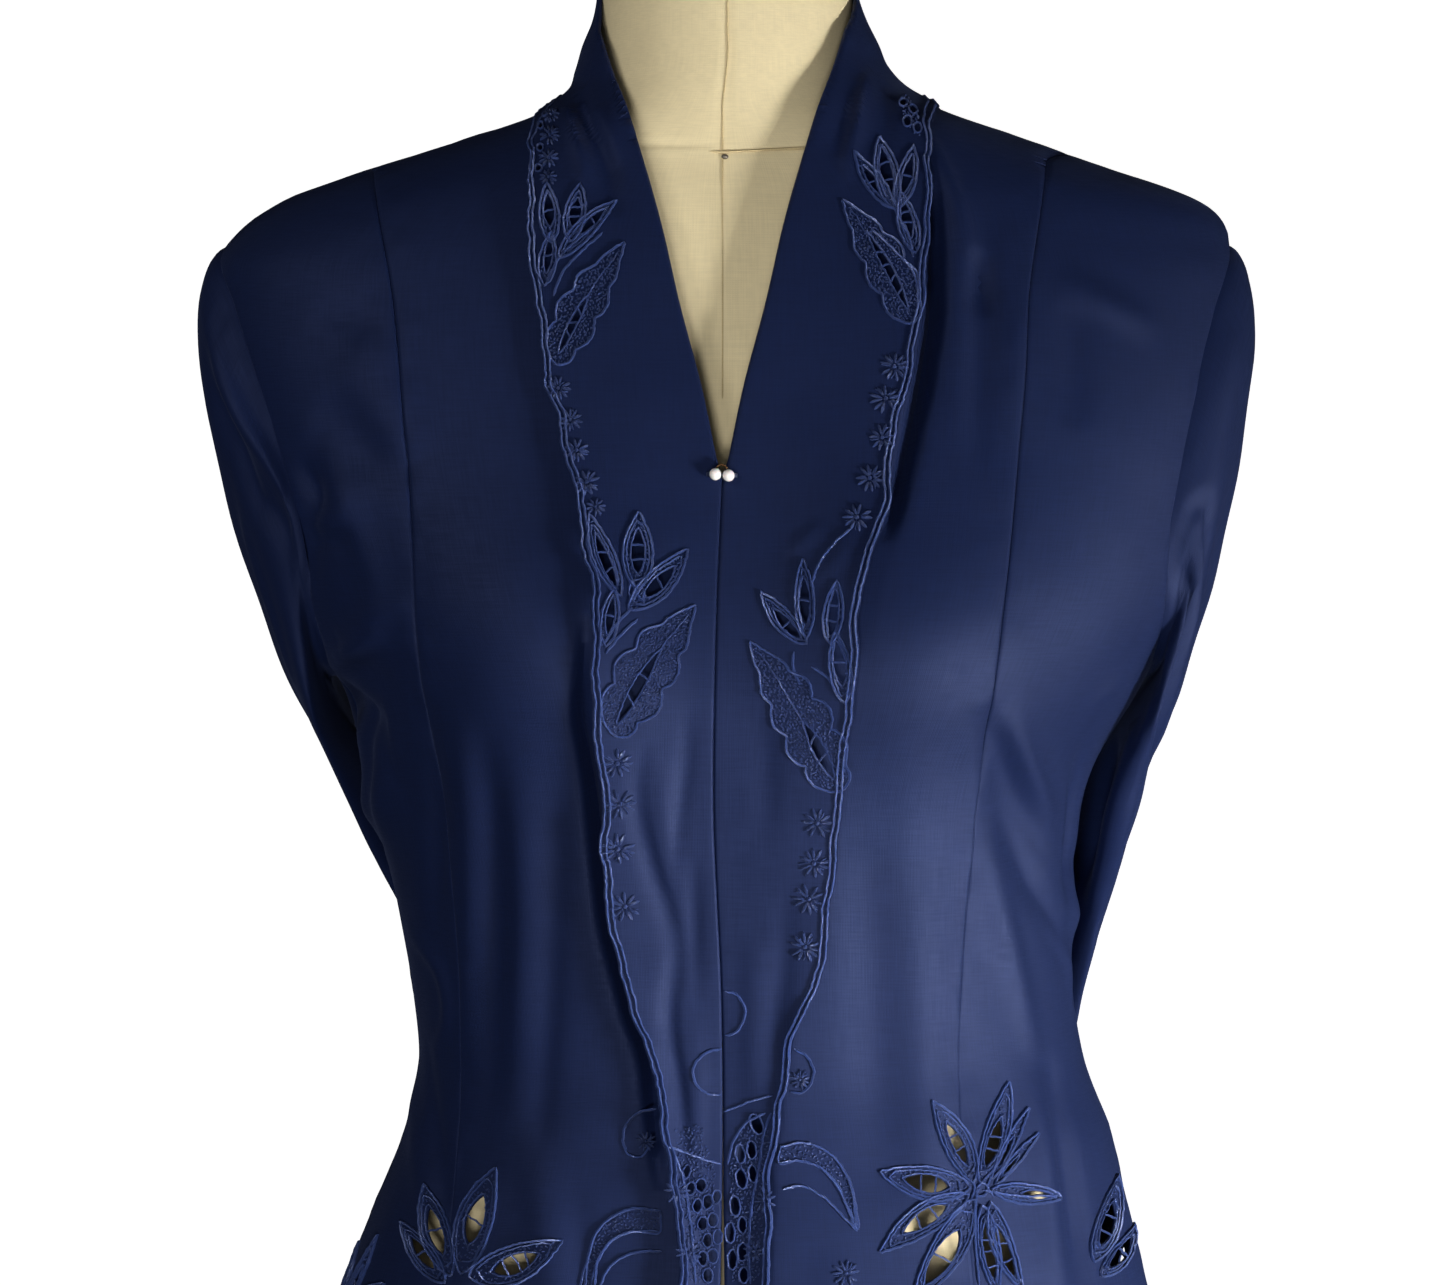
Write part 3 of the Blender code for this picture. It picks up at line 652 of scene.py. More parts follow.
def tube(soup: Soup, line: Line, normals: Array, wide: float, high: float, closed: bool = False,
         sides: int = 5, sink: float = 0.3) -> None:
    """Lay a flattened cord along a line on cloth.

    Args:
        soup: the mesh that takes the cord.
        line: points on the cloth.
        normals: the cloth's normals there.
        wide: width of the cord.
        high: height of the cord above the cloth.
        closed: whether it is a ring.
        sides: corners of its section.
        sink: share of its height that lies in the cloth.
    """
    count = len(line)
    if closed:
        ahead = np.roll(line, -1, axis=0) - np.roll(line, 1, axis=0)
    else:
        ahead = np.gradient(line, axis=0)
    across = unit(np.cross(unit(ahead), normals))
    up = unit(np.cross(across, unit(ahead)))
    angles = np.linspace(0, 2 * np.pi, sides, endpoint=False) + np.pi / sides
    size = np.ones(count)
    if not closed:
        size[0] = size[-1] = CORD_END
    half_w = wide / 2 * size
    half_h = high / 2 / (1 - sink) * size
    rise = (high - high / 2 / (1 - sink)) * size
    ring = (line[:, None] + across[:, None] * (np.cos(angles)[None, :] * half_w[:, None])[..., None]
            + up[:, None] * (np.sin(angles)[None, :] * half_h[:, None] + rise[:, None])[..., None])
    places = np.stack((np.broadcast_to(run_along(line)[:, None], (count, sides)),
                       np.broadcast_to(np.arange(sides)[None, :] * wide / sides, (count, sides))), axis=-1)
    soup.add(ring.reshape(-1, 3), ring_faces(count, sides, closed, not closed), places.reshape(-1, 2))


def dome(soup: Soup, middle: Array, normal: Array, along: Array, long: float, wide: float,
         high: float, sides: int = 5) -> None:
    """Raise a small closed dome, such as a satin dot, on cloth.

    Args:
        soup: the mesh that takes it.
        middle: its middle on the cloth.
        normal: the cloth's normal there.
        along: the way of its length.
        long: its length.
        wide: its width.
        high: its height.
        sides: corners of its outline.
    """
    along = unit(along - normal * (along @ normal))
    across = np.cross(normal, along)
    angles = np.linspace(0, 2 * np.pi, sides, endpoint=False)
    rings = []
    for share, rise in ((1.0, -0.15), (0.78, 0.62)):
        rings.append(middle + np.outer(np.cos(angles) * long / 2 * share, along)
                     + np.outer(np.sin(angles) * wide / 2 * share, across) + normal * high * rise)
    points = np.concatenate((rings[0], rings[1], [middle + normal * high]))
    faces = [(j, (j + 1) % sides, sides + (j + 1) % sides, sides + j) for j in range(sides)]
    faces += [(sides + j, sides + (j + 1) % sides, 2 * sides) for j in range(sides)]
    faces.append(tuple(reversed(range(sides))))
    places = np.stack((np.tile(np.cos(angles), 3)[:2 * sides + 1] * long,
                       np.tile(np.sin(angles), 3)[:2 * sides + 1] * wide), axis=-1)
    soup.add(points, faces, places)


def srgb(red: int, green: int, blue: int) -> Colour:
    """Turn a screen colour, 0 to 255, into the colour that a shader takes."""
    screen = np.array((red, green, blue)) / 255
    return tuple(np.where(screen <= 0.04045, screen / 12.92, ((screen + 0.055) / 1.055) ** 2.4).tolist())


class NodeSheet:
    """Short way to place and join nodes in one tree."""

    def __init__(self, tree: Tree, placed: int = 0) -> None:
        """Start with a tree and the number of places already taken."""
        self.tree = tree
        self.placed = placed

    def add(self, kind: str, settings: dict | None = None, **inputs: object) -> Node:
        """Place a node.

        Args:
            kind: the node's type, without the leading ShaderNode.
            settings: properties of the node.
            inputs: values or sockets by input name, with _ for a space.

        Returns:
            The node.
        """
        node = self.tree.nodes.new(kind if kind.startswith("Node") else "ShaderNode" + kind)
        node.location = (220 * (self.placed % 8), -260 * (self.placed // 8))
        self.placed += 1
        for name, value in (settings or {}).items():
            setattr(node, name, value)
        self.tune(node, **inputs)
        return node

    def feed(self, node: Node, name: str | int, value: object) -> None:
        """Set an input to a value, or join a socket to it."""
        socket = node.inputs[name]
        if isinstance(value, Socket):
            self.tree.links.new(value, socket)
        elif isinstance(value, tuple) and len(value) == 3 and socket.type == "RGBA":
            socket.default_value = (*value, 1)
        else:
            socket.default_value = value

    def tune(self, node: Node, **inputs: object) -> None:
        """Set or join several inputs by name, with _ for a space."""
        for name, value in inputs.items():
            self.feed(node, name.replace("_", " "), value)

    def math(self, work: str, one: object, two: object = 0.0) -> Socket:
        """Join two numbers with a sum or another operation."""
        node = self.add("Math", {"operation": work})
        self.feed(node, 0, one)
        self.feed(node, 1, two)
        return node.outputs[0]

    def plus(self, one: object, two: object) -> Socket:
        """Add two numbers."""
        return self.math("ADD", one, two)

    def times(self, one: object, two: object) -> Socket:
        """Multiply two numbers."""
        return self.math("MULTIPLY", one, two)

    def wave(self, run: Socket, pitch: Socket) -> Socket:
        """Give a row of humps, one for each pitch."""
        turns = self.times(self.math("DIVIDE", run, pitch), np.pi)
        return self.math("ABSOLUTE", self.math("SINE", turns))

    def spread(self, value: object, low: float, high: float, to_low: float, to_high: float) -> Socket:
        """Bring a number from one span to another, and keep it within the second."""
        node = self.add("MapRange", {"clamp": True})
        for i, number in enumerate((value, low, high, to_low, to_high)):
            self.feed(node, i, number)
        return node.outputs[0]

    def mix(self, share: object, one: object, two: object) -> Socket:
        """Mix two colours by a share."""
        node = self.add("Mix", {"data_type": "RGBA"})
        for i, value in ((0, share), (6, one), (7, two)):
            self.feed(node, i, value)
        return node.outputs[2]

    def shade(self, colour: Socket, value: Socket) -> Socket:
        """Make a colour lighter or darker."""
        return self.add("HueSaturation", Value=value, Color=colour).outputs[0]

    def scaled(self, place: Socket, factors: tuple[float, float, float]) -> Socket:
        """Stretch the places of a texture along each axis."""
        node = self.add("VectorMath", {"operation": "MULTIPLY"})
        self.feed(node, 0, place)
        self.feed(node, 1, factors)
        return node.outputs[0]

    def noise(self, place: Socket, scale: object, detail: float, kind: str = "3D") -> Socket:
        """Read a noise at the places of a texture."""
        settings = {"noise_dimensions": kind}
        return self.add("TexNoise", settings, Vector=place, Scale=scale, Detail=detail).outputs[0]

    def place(self) -> Socket:
        """Give the place on the object, in metres."""
        return self.add("TexCoord").outputs["Object"]

    def flat(self) -> tuple[Socket, object]:
        """Give the place on the map named Flat, whole and split by axis."""
        place = self.add("UVMap", {"uv_map": "Flat"}).outputs[0]
        return place, self.add("SeparateXYZ", Vector=place).outputs

    def bump(self, shader: Node, height: Socket, deep: float, strength: float) -> None:
        """Raise a shader's surface, by deep metres for a height of 1."""
        self.tune(shader, Normal=self.add("Bump", Height=height, Distance=deep, Strength=strength).outputs[0])


def new_group(name: str, inputs: dict[str, float | Colour], outputs: dict[str, float | Colour]) -> tuple:
    """Start a shader node group, whose sockets take their kinds from sample values.

    Args:
        name: the group's name.
        inputs: names of the inputs with their usual values.
        outputs: names of the outputs with sample values.

    Returns:
        The group, a node sheet for it, its input sockets and its output node.
    """
    group = bpy.data.node_groups.new(name, "ShaderNodeTree")
    for way, sockets in (("INPUT", inputs), ("OUTPUT", outputs)):
        for label, value in sockets.items():
            colour = isinstance(value, tuple)
            kind = "NodeSocketColor" if colour else "NodeSocketFloat"
            socket = group.interface.new_socket(name=label, in_out=way, socket_type=kind)
            socket.default_value = (*value, 1) if colour else value
    sheet = NodeSheet(group)
    return group, sheet, sheet.add("NodeGroupInput").outputs, sheet.add("NodeGroupOutput")


class Effects:
    """Node groups that several finishes share."""

    def __init__(self) -> None:
        """Build each group once."""
        self.weave = self.build_weave()
        self.mottle = self.build_mottle()
        self.stitches = self.build_stitches()
        self.grime = self.build_grime()

    def build_weave(self) -> Tree:
        """Make a plain weave on the map named Flat, with thicker threads here and there."""
        group, sheet, take, give = new_group("plain_weave", {"Pitch": 0.0005, "Slub": 0.5},
                                             {"Height": 0.0, "Threads": 0.0})
        place, flat = sheet.flat()
        over = sheet.math("MAXIMUM", *(sheet.wave(flat[axis], take["Pitch"]) for axis in (0, 1)))
        slubs = [sheet.noise(sheet.scaled(place, factors), 1.0, 2.0, "2D")
                 for factors in ((90.0, 1400.0, 1.0), (1700.0, 60.0, 1.0))]
        slub = sheet.times(sheet.plus(*slubs), 0.5)
        sheet.tune(give, Height=sheet.plus(sheet.times(over, 0.5), sheet.times(slub, take["Slub"])),
                   Threads=sheet.spread(slub, 0.36, 0.64, 0.0, 1.0))
        return group

    def build_mottle(self) -> Tree:
        """Make a colour wander a little over broad and small patches."""
        grey = (0.5, 0.5, 0.5)
        group, sheet, take, give = new_group("mottle", {"Colour": grey, "Amount": 0.2, "Patch": 12.0},
                                             {"Colour": grey})
        place = sheet.place()
        both = sheet.plus(sheet.times(sheet.noise(place, take["Patch"], 3.0), 0.7),
                          sheet.times(sheet.noise(place, 140.0, 2.0), 0.3))
        patches = sheet.spread(both, 0.35, 0.65, -1.0, 1.0)
        value = sheet.plus(sheet.times(patches, take["Amount"]), 1.0)
        sheet.tune(give, Colour=sheet.shade(take["Colour"], value))
        return group

    def build_stitches(self) -> Tree:
        """Make close slanting satin stitches along a cord, from the map named Flat; Glint marks each stitch's
        crest, where the thread finish paints a highlight.
        """
        group, sheet, take, give = new_group("satin_stitches", {"Pitch": 0.0005, "Slant": 0.6},
                                             {"Height": 0.0, "Thread": 0.0})
        place, flat = sheet.flat()
        wave = sheet.wave(sheet.plus(flat[0], sheet.times(flat[1], take["Slant"])), take["Pitch"])
        stray = sheet.times(sheet.noise(place, 2600.0, 2.0, "2D"), 0.8)
        sheet.tune(give, Height=sheet.plus(wave, stray), Thread=wave)
        return group

    def build_grime(self) -> Tree:
        """Make worn edges and settled dust masks for the hard pieces of the stand."""
        group, sheet, take, give = new_group("wear_and_dust", {"Edge": 0.5, "Dust": 0.3},
                                             {"Wear": 0.0, "Dust": 0.0})
        shape = sheet.add("NewGeometry").outputs
        edge = sheet.spread(shape["Pointiness"], 0.52, 0.60, 0.0, 1.0)
        broken = sheet.spread(sheet.noise(sheet.place(), 60.0, 5.0), 0.42, 0.60, 0.0, 1.0)
        upward = sheet.spread(sheet.add("SeparateXYZ", Vector=shape["Normal"]).outputs[2], 0.5, 1.0, 0.0, 1.0)
        sheet.tune(give, Wear=sheet.times(sheet.times(edge, broken), take["Edge"]),
                   Dust=sheet.times(sheet.times(upward, broken), take["Dust"]))
        return group


@dataclass(frozen=True)
class Finish:
    """Gloss and colour that every finish starts from."""

    name: str
    colour: Colour
    roughness: float
    mottle: float
    patch: float = 12.0
    metallic: float = 0.0

    def start(self, effects: Effects) -> tuple[Material, NodeSheet, Node, Socket]:
        """Make the material, and give it with its node sheet, its shader and its mottled colour."""
        material = bpy.data.materials.new(self.name)
        material.use_nodes = True
        sheet = NodeSheet(material.node_tree, 8)
        shader = material.node_tree.nodes["Principled BSDF"]
        sheet.tune(shader, Metallic=self.metallic, Roughness=self.roughness)
        mottle = sheet.add("Group", {"node_tree": effects.mottle}, Colour=self.colour, Amount=self.mottle,
                           Patch=self.patch)
        return material, sheet, shader, mottle.outputs["Colour"]


@dataclass(frozen=True)
class ClothFinish(Finish):
    """Woven cloth with a soft bloom at glancing angles."""

    pitch: float = 0.0006
    slub: float = 0.9
    bloom: float = 0.05
    bloom_tint: Colour = (0.35, 0.45, 0.9)
    thread_light: float = 0.10
    gloss: float = 0.32
    gloss_tint: Colour = (0.44, 0.54, 1.0)

    def make(self, effects: Effects) -> Material:
        """Make the material."""
        material, sheet, shader, colour = self.start(effects)
        weave = sheet.add("Group", {"node_tree": effects.weave}, Pitch=self.pitch, Slub=self.slub).outputs
        lift = sheet.spread(weave["Threads"], 0.0, 1.0, 1.0 - self.thread_light, 1.0 + self.thread_light)
        rough = sheet.spread(weave["Threads"], 0.0, 1.0, self.roughness + 0.05, self.roughness - 0.05)
        sheet.tune(shader, Base_Color=sheet.shade(colour, lift), Roughness=rough, Sheen_Weight=self.bloom,
                   Sheen_Roughness=0.45, Sheen_Tint=self.bloom_tint, Specular_IOR_Level=self.gloss,
                   Specular_Tint=self.gloss_tint)
        sheet.bump(shader, weave["Height"], 0.00012, 0.55)
        return material


@dataclass(frozen=True)
class ThreadFinish(Finish):
    """Glossy embroidery thread laid in satin stitches, with painted highlights on the stitches' crests and
    painted shade in the gaps between them.
    """

    pitch: float = 0.0005

    def make(self, effects: Effects) -> Material:
        """Make the material."""
        material, sheet, shader, colour = self.start(effects)
        satin = sheet.add("Group", {"node_tree": effects.stitches}, Pitch=self.pitch).outputs
        # Painted highlight and shade: the base colour is lighter on each stitch's crest and darker between
        # stitches
        lift = sheet.spread(satin["Thread"], 0.0, 1.0, 0.40, 1.70)
        rough = sheet.spread(satin["Thread"], 0.0, 1.0, self.roughness + 0.15, self.roughness - 0.05)
        sheet.tune(shader, Base_Color=sheet.shade(colour, lift), Roughness=rough, Sheen_Weight=0.10,
                   Sheen_Tint=(0.4, 0.5, 0.9), Specular_IOR_Level=0.95, Specular_Tint=(0.55, 0.64, 1.0))
        sheet.bump(shader, satin["Height"], 0.00020, 1.0)
        return material


@dataclass(frozen=True)
class HardFinish(Finish):
    """Wood, metal or paint of the stand, with grain or brush marks, wear and dust."""

    grain: tuple[float, float, float] = (900.0, 900.0, 900.0)
    grain_deep: float = 0.00002
    grain_light: float = 0.1
    coat: float = 0.0
    worn: Colour = (0.3, 0.3, 0.3)
    wear: float = 0.5
    dust: float = 0.25
    dust_colour: Colour = (0.42, 0.40, 0.37)

    def make(self, effects: Effects) -> Material:
        """Make the material."""
        material, sheet, shader, colour = self.start(effects)
        grain = sheet.noise(sheet.scaled(sheet.place(), self.grain), 1.0, 4.0)
        lift = sheet.spread(grain, 0.3, 0.7, 1.0 - self.grain_light, 1.0 + self.grain_light)
        grime = sheet.add("Group", {"node_tree": effects.grime}, Edge=self.wear).outputs
        bare = sheet.mix(grime["Wear"], sheet.shade(colour, lift), self.worn)
        film = sheet.times(grime["Dust"], self.dust)
        rough = sheet.spread(grain, 0.3, 0.7, self.roughness - 0.05, self.roughness + 0.07)
        sheet.tune(shader, Base_Color=sheet.mix(film, bare, self.dust_colour),
                   Roughness=sheet.plus(rough, sheet.times(film, 0.8)), Coat_Weight=self.coat)
        sheet.bump(shader, grain, self.grain_deep, 0.5)
        return material


@dataclass(frozen=True)
class PearlFinish(Finish):
    """A bead with a clear coat and a painted lustre: its base colour turns warmer and darker where it is seen
    edge-on.
    """

    # Colours of the painted lustre, edge-on and half way round
    rim: Colour = srgb(214, 196, 186)
    between: Colour = srgb(232, 226, 224)

    def make(self, effects: Effects) -> Material:
        """Make the material."""
        material, sheet, shader, colour = self.start(effects)
        # Painted reflection: the colour follows the facing angle, warm and dark at the rim
        play = sheet.add("ValToRGB", Fac=sheet.add("LayerWeight", Blend=0.35).outputs["Facing"])
        stops = play.color_ramp.elements
        stops.new(0.55)
        for stop, shade in zip(stops, (self.colour, self.between, self.rim)):
            stop.color = (*shade, 1)
        sheet.tune(shader, Base_Color=sheet.mix(0.5, colour, play.outputs[0]), Coat_Weight=0.8,
                   Coat_Roughness=0.08, Subsurface_Weight=0.15, Subsurface_Scale=0.001)
        sheet.bump(shader, sheet.noise(sheet.place(), 900.0, 3.0), 0.00003, 0.4)
        return material


class Dyes:
    """Every material of the model, built once."""

    def __init__(self) -> None:
        """Mix the finishes."""
        navy = srgb(14, 24, 55)
        calico = {"pitch": 0.0009, "bloom_tint": (1.0, 0.9, 0.7), "gloss": 0.2,
                  "gloss_tint": (1.0, 0.95, 0.85)}
        finishes = {
            "cotton": ClothFinish("navy_cotton", navy, 0.60, 0.07, 9.0),
            "band": ClothFinish("navy_band_cotton", navy, 0.60, 0.06, 9.0),
            "thread": ThreadFinish("navy_embroidery_thread", srgb(42, 57, 103), 0.26, 0.10, 60.0),
            "seam": ThreadFinish("navy_sewing_thread", srgb(12, 17, 40), 0.55, 0.05, 60.0, pitch=0.0016),
            "canvas": ClothFinish("form_canvas", srgb(232, 215, 172), 0.85, 0.05, 7.0, slub=0.8, bloom=0.1,
                                  thread_light=0.04, **calico),
            "form_seam": ClothFinish("form_seam_tape", srgb(206, 186, 142), 0.85, 0.05, 30.0, **calico),
            "pearl": PearlFinish("pearl_lustre", srgb(240, 236, 228), 0.16, 0.03, 200.0),
            "hook": HardFinish("dark_brass_hook", srgb(96, 70, 44), 0.38, 0.15, 300.0, 1.0),
            "pin": HardFinish("pin_steel", srgb(120, 110, 96), 0.35, 0.1, 300.0, 1.0),
            "wood": HardFinish("turned_wood", srgb(150, 106, 62), 0.48, 0.15, 9.0, grain=(22.0, 160.0, 160.0),
                               grain_deep=0.0002, grain_light=0.25, coat=0.25, worn=srgb(190, 152, 104)),
            "steel": HardFinish("brushed_steel", srgb(176, 178, 180), 0.28, 0.05, 9.0, 1.0,
                                grain=(30.0, 30.0, 2600.0), grain_deep=0.00004, grain_light=0.07,
                                worn=srgb(200, 200, 200)),
            "paint": HardFinish("base_paint", srgb(44, 44, 47), 0.45, 0.10, 14.0, grain=(420.0, 420.0, 420.0),
                                grain_deep=0.00012, grain_light=0.08, worn=srgb(110, 108, 104)),
        }
        effects = Effects()
        self.materials = {name: finish.make(effects) for name, finish in finishes.items()}

    def __getitem__(self, name: str) -> Material:
        """Give a material by its short name."""
        return self.materials[name]


def at_front(rows: Array) -> Array:
    """Turn places in millimetres, as seen from the front, into turns and heights."""
    rows = np.asarray(rows, float) * MM
    return np.stack((SHAPE.turn_at(rows[..., 0], rows[..., 1]), rows[..., 1]), axis=-1)


def to_flat(places: Array) -> Array:
    """Turn places of turn and height into the flat that cloth is cut from."""
    return places * (FLAT, 1)


# Folds of the front, with paths in millimetres seen from straight ahead
FRONT_FOLDS = creases(
    (3.5, 1.6, 1, -170, 1250, -160, 1253, -150, 1255), (4, -1.8, 1, -171, 1244, -160, 1245, -149, 1243),
    (5, 2.6, 1, -162, 1192, -148, 1201, -136, 1210), (4, 1.6, 1, -159, 1198, -143, 1203, -128, 1205),
    (6, -1.9, 1, -160, 1190, -146, 1192, -131, 1189),
    (8, -3.9, 1, -150, 1181, -147, 1165, -143, 1140, -142, 1110),
    (8, -3.2, 1, -167, 1292, -165, 1268, -169, 1246, -166, 1222),
    (7, 1.9, 1, -176, 1296, -158, 1270, -144, 1240, -138, 1205),
    (6, -2.4, 1, -121, 1186, -117, 1160, -116, 1128, -118, 1080),
    (8, 2.2, 1, -105, 1178, -103, 1140, -103, 1090, -105, 1030),
    (6, -1.7, 1, -96, 1168, -91, 1130, -91, 1080, -95, 1010),
    (8, 1.4, 1, -81, 1172, -80, 1130, -82, 1070, -86, 1000),
    (6, -1.2, 1, -66, 1160, -67, 1110, -70, 1050, -75, 985),
    (7, 1.8, 1, -131, 1030, -126, 1000, -121, 975, -118, 940),
    (5, -1.4, 1, -122, 1040, -116, 1000, -110, 960), (9, 1.8, 1, -76, 1010, -72, 980, -66, 940, -64, 880),
    (6, -1.2, 1, -60, 990, -55, 950, -52, 900),
    (2.8, -2.1, 1.6, -31, 1166, -33, 1142, -27, 1114, -19, 1088, -17, 1060),
    (2.6, -1.2, 1.5, -13, 1180, -14, 1155, -17, 1134, -19, 1110),
    (5, 1, 1, -25, 1160, -22, 1130, -20, 1105),
    (2.8, -3, 1.5, -19, 1080, -20, 1045, -17, 1027, -15, 1004, -14, 975),
    (3, -1.2, 1, -11, 1120, -11, 1090, -10, 1060), (5, 1.2, 1, -10, 1060, -9, 1030, -8, 1000),
    (6, -1.2, 1, 16, 1180, 17, 1150, 16, 1120), (4, -1.2, 1, 25, 1110, 24, 1080, 21, 1050, 19, 1020),
    (5, 1.2, 1, 13, 1090, 12, 1050, 12, 1010),
    (3.8, 3, 1, 80, 1419, 88.6, 1402, 94.6, 1385, 99.8, 1361, 101, 1345),
    (4.2, -3.4, 1, 103.4, 1364, 105, 1350, 105, 1336), (7, -1.4, 1, -168, 1342, -154, 1336, -139, 1333),
    (14, 2.2, 1, -150, 1326, -138, 1302, -124, 1276), (11, -2.3, 1, -163, 1304, -148, 1286, -130, 1262),
    (10, 2, 1, -167, 1250, -150, 1262, -128, 1268), (4.5, -2.6, 1, -173, 1278, -169, 1268, -164, 1258),
    (8, 2.7, 1, -156, 1204, -140, 1213, -124, 1219),
    (4.5, 2.2, 1, -130, 1086, -114.4, 1068, -112, 1048, -119, 1033),
    (5, -2, 1, 84, 1398, 86, 1370, 88, 1330, 84, 1280),
    (6, -2.6, 1, 108, 1386, 106, 1350, 104, 1320, 102, 1270), (7, -2.2, 1, 139, 1342, 142, 1315, 143, 1290),
    (7, 2.4, 1, 136, 1354, 150, 1345, 163, 1338, 178, 1330), (6, 1.8, 1, 120, 1350, 119, 1320, 117, 1290),
    (5.5, -3.6, 1.6, 104, 1180, 113, 1155, 124, 1130, 134, 1112),
    (6, 3.7, 1, 113, 1178, 124, 1152, 137, 1128),
    (5.5, -4, 1.5, 107, 1146, 121, 1118, 134, 1092, 143, 1072),
    (7, 2.9, 1, 104, 1130, 112, 1095, 121, 1060, 128, 1030),
    (5, 2.2, 1, 126, 1102, 134, 1088, 141, 1076, 144, 1050),
    (7, -3.6, 1, 148, 1168, 146, 1140, 143, 1110, 143, 1080),
    (6, -3.9, 1.4, 134, 1035, 139, 1005, 143, 975, 146, 935),
    (8, 2.9, 1, 124, 1035, 130, 1000, 134, 960, 137, 915),
    (12, -1.8, 1, 60, 1150, 59, 1100, 62, 1040, 66, 980),
    (12, 1.7, 1, 80, 1130, 80, 1080, 82, 1020, 84, 960), (8, 1.6, 1, 42, 960, 44, 930, 46, 890),
    (6, 1.4, 1, 150, 1178, 158, 1184, 168, 1188), (11, 3, 1, -60, 930, -62, 880, -66, 830),
    (11, -2.6, 1, -92, 940, -96, 890, -101, 845), (12, 3, 1, -125, 930, -131, 885, -137, 845),
    (11, -2.4, 1, 66, 915, 70, 870, 74, 825), (12, 3, 1, 98, 930, 104, 880, 108, 840),
    (11, -2.6, 1, 150, 925, 157, 885, 160, 850), (9, 2, 1, 30, 900, 32, 860, 33, 815),
    (9, -1.8, 1, -28, 900, -31, 860, -35, 815),
)

# Deep narrow folds where the body falls back beside the lapels' free edges, seen from the front
GAP_FOLDS = creases(
    (2.6, -10.5, 1, -54, 1214, -54.5, 1200, -55.5, 1188, -56, 1172, -53.5, 1157, -51.8, 1144, -50.3, 1127,
     -48.8, 1110, -45.8, 1088, -40.5, 1068, -36.2, 1053, -31.2, 1040, -28, 1015, -25, 985),
    (3.2, -11.5, 1, 85, 1392, 86, 1378, 86.2, 1362, 85.4, 1340, 82, 1318, 76, 1288, 70.5, 1266, 64, 1244),
    (8, -11.8, 1, 13.5, 1040, 9.5, 1012, 7, 995, 5.5, 982, 4.5, 968, 4, 945, 4, 910),
)

# Folds of the back and the sides, with paths of turns and heights in millimetres
BACK_FOLDS = creases(
    (9, -8.5, 1, -58, 1170, -70, 1175, -82, 1179, -94, 1176),
    (13, 6.5, 1, -60, 1150, -72, 1138, -84, 1132, -96, 1128), (7.5, 3, 1, 68, 1097, 80, 1091, 92, 1086),
    (7, -2.2, 1, 70, 1115, 80, 1112, 92, 1109), (9, 2.6, 1, 128, 1200, 133, 1150, 137, 1090, 139, 1040),
    (8, -2.2, 1, 118, 1180, 122, 1130, 127, 1080), (9, 2.8, 1, 232, 1206, 227, 1150, 222, 1095, 221, 1045),
    (8, -2.2, 1, 243, 1184, 239, 1135, 233, 1085),
    (6, 2.2, 1.5, 154, 1072, 162, 1062, 171, 1058, 178, 1062),
    (6, 2.4, 1.5, 184, 1046, 193, 1050, 203, 1058, 210, 1070),
    (6, 1.8, 1.4, 158, 1036, 168, 1028, 180, 1026, 190, 1031), (5, 1.4, 1, 180, 1084, 189, 1080, 198, 1086),
    (12, 2, 1, 166, 1330, 165, 1270, 168, 1210, 170, 1160),
    (12, 1.8, 1, 193, 1320, 196, 1260, 193, 1190, 189, 1140), (9, 2, 1, 124, 1310, 134, 1280, 146, 1262),
    (9, 2.2, 1, 236, 1316, 226, 1284, 214, 1264), (11, 3.4, 1, 140, 1010, 137, 960, 133, 900, 131, 855),
    (10, -2.6, 1, 158, 1000, 156, 950, 154, 900, 153, 855), (11, 3, 1, 172, 990, 171, 930, 170, 855),
    (10, -2.8, 1, 186, 985, 188, 930, 190, 855), (11, 3.2, 1, 203, 1000, 205, 940, 208, 855),
    (11, -2.6, 1, 221, 1010, 226, 950, 229, 855), (10, 2.2, 1, 106, 1020, 105, 960, 104, 900, 103, 855),
    (10, 2.2, 1, 252, 1020, 254, 960, 256, 900, 257, 855),
)

# Darts of the back, as turns and heights in millimetres
BACK_DARTS = (
    ((149, 1178), (151.5, 1110), (152, 1046), (150, 985), (148, 925)),
    ((211, 1178), (208.5, 1110), (208, 1046), (210, 985), (212, 925)),
)


def on_front(path: Line) -> Line:
    """Lay a path in millimetres, as seen from the front, on the blouse."""
    return SHAPE.point(*at_front(smooth_line(path, 12)).T)


def true_surface(face: Callable, flat: Array, step: float = 0.0006) -> tuple[Array, Array]:
    """Give points and true normals of a surface whose face gives points and rough normals in the flat."""
    here, rough = face(flat)
    along = face(flat + (step, 0))[0] - face(flat - (step, 0))[0]
    up = face(flat + (0, step))[0] - face(flat - (0, step))[0]
    normal = unit(np.cross(along, up))
    return here, np.where(np.sum(normal * rough, axis=1, keepdims=True) > 0, normal, -normal)


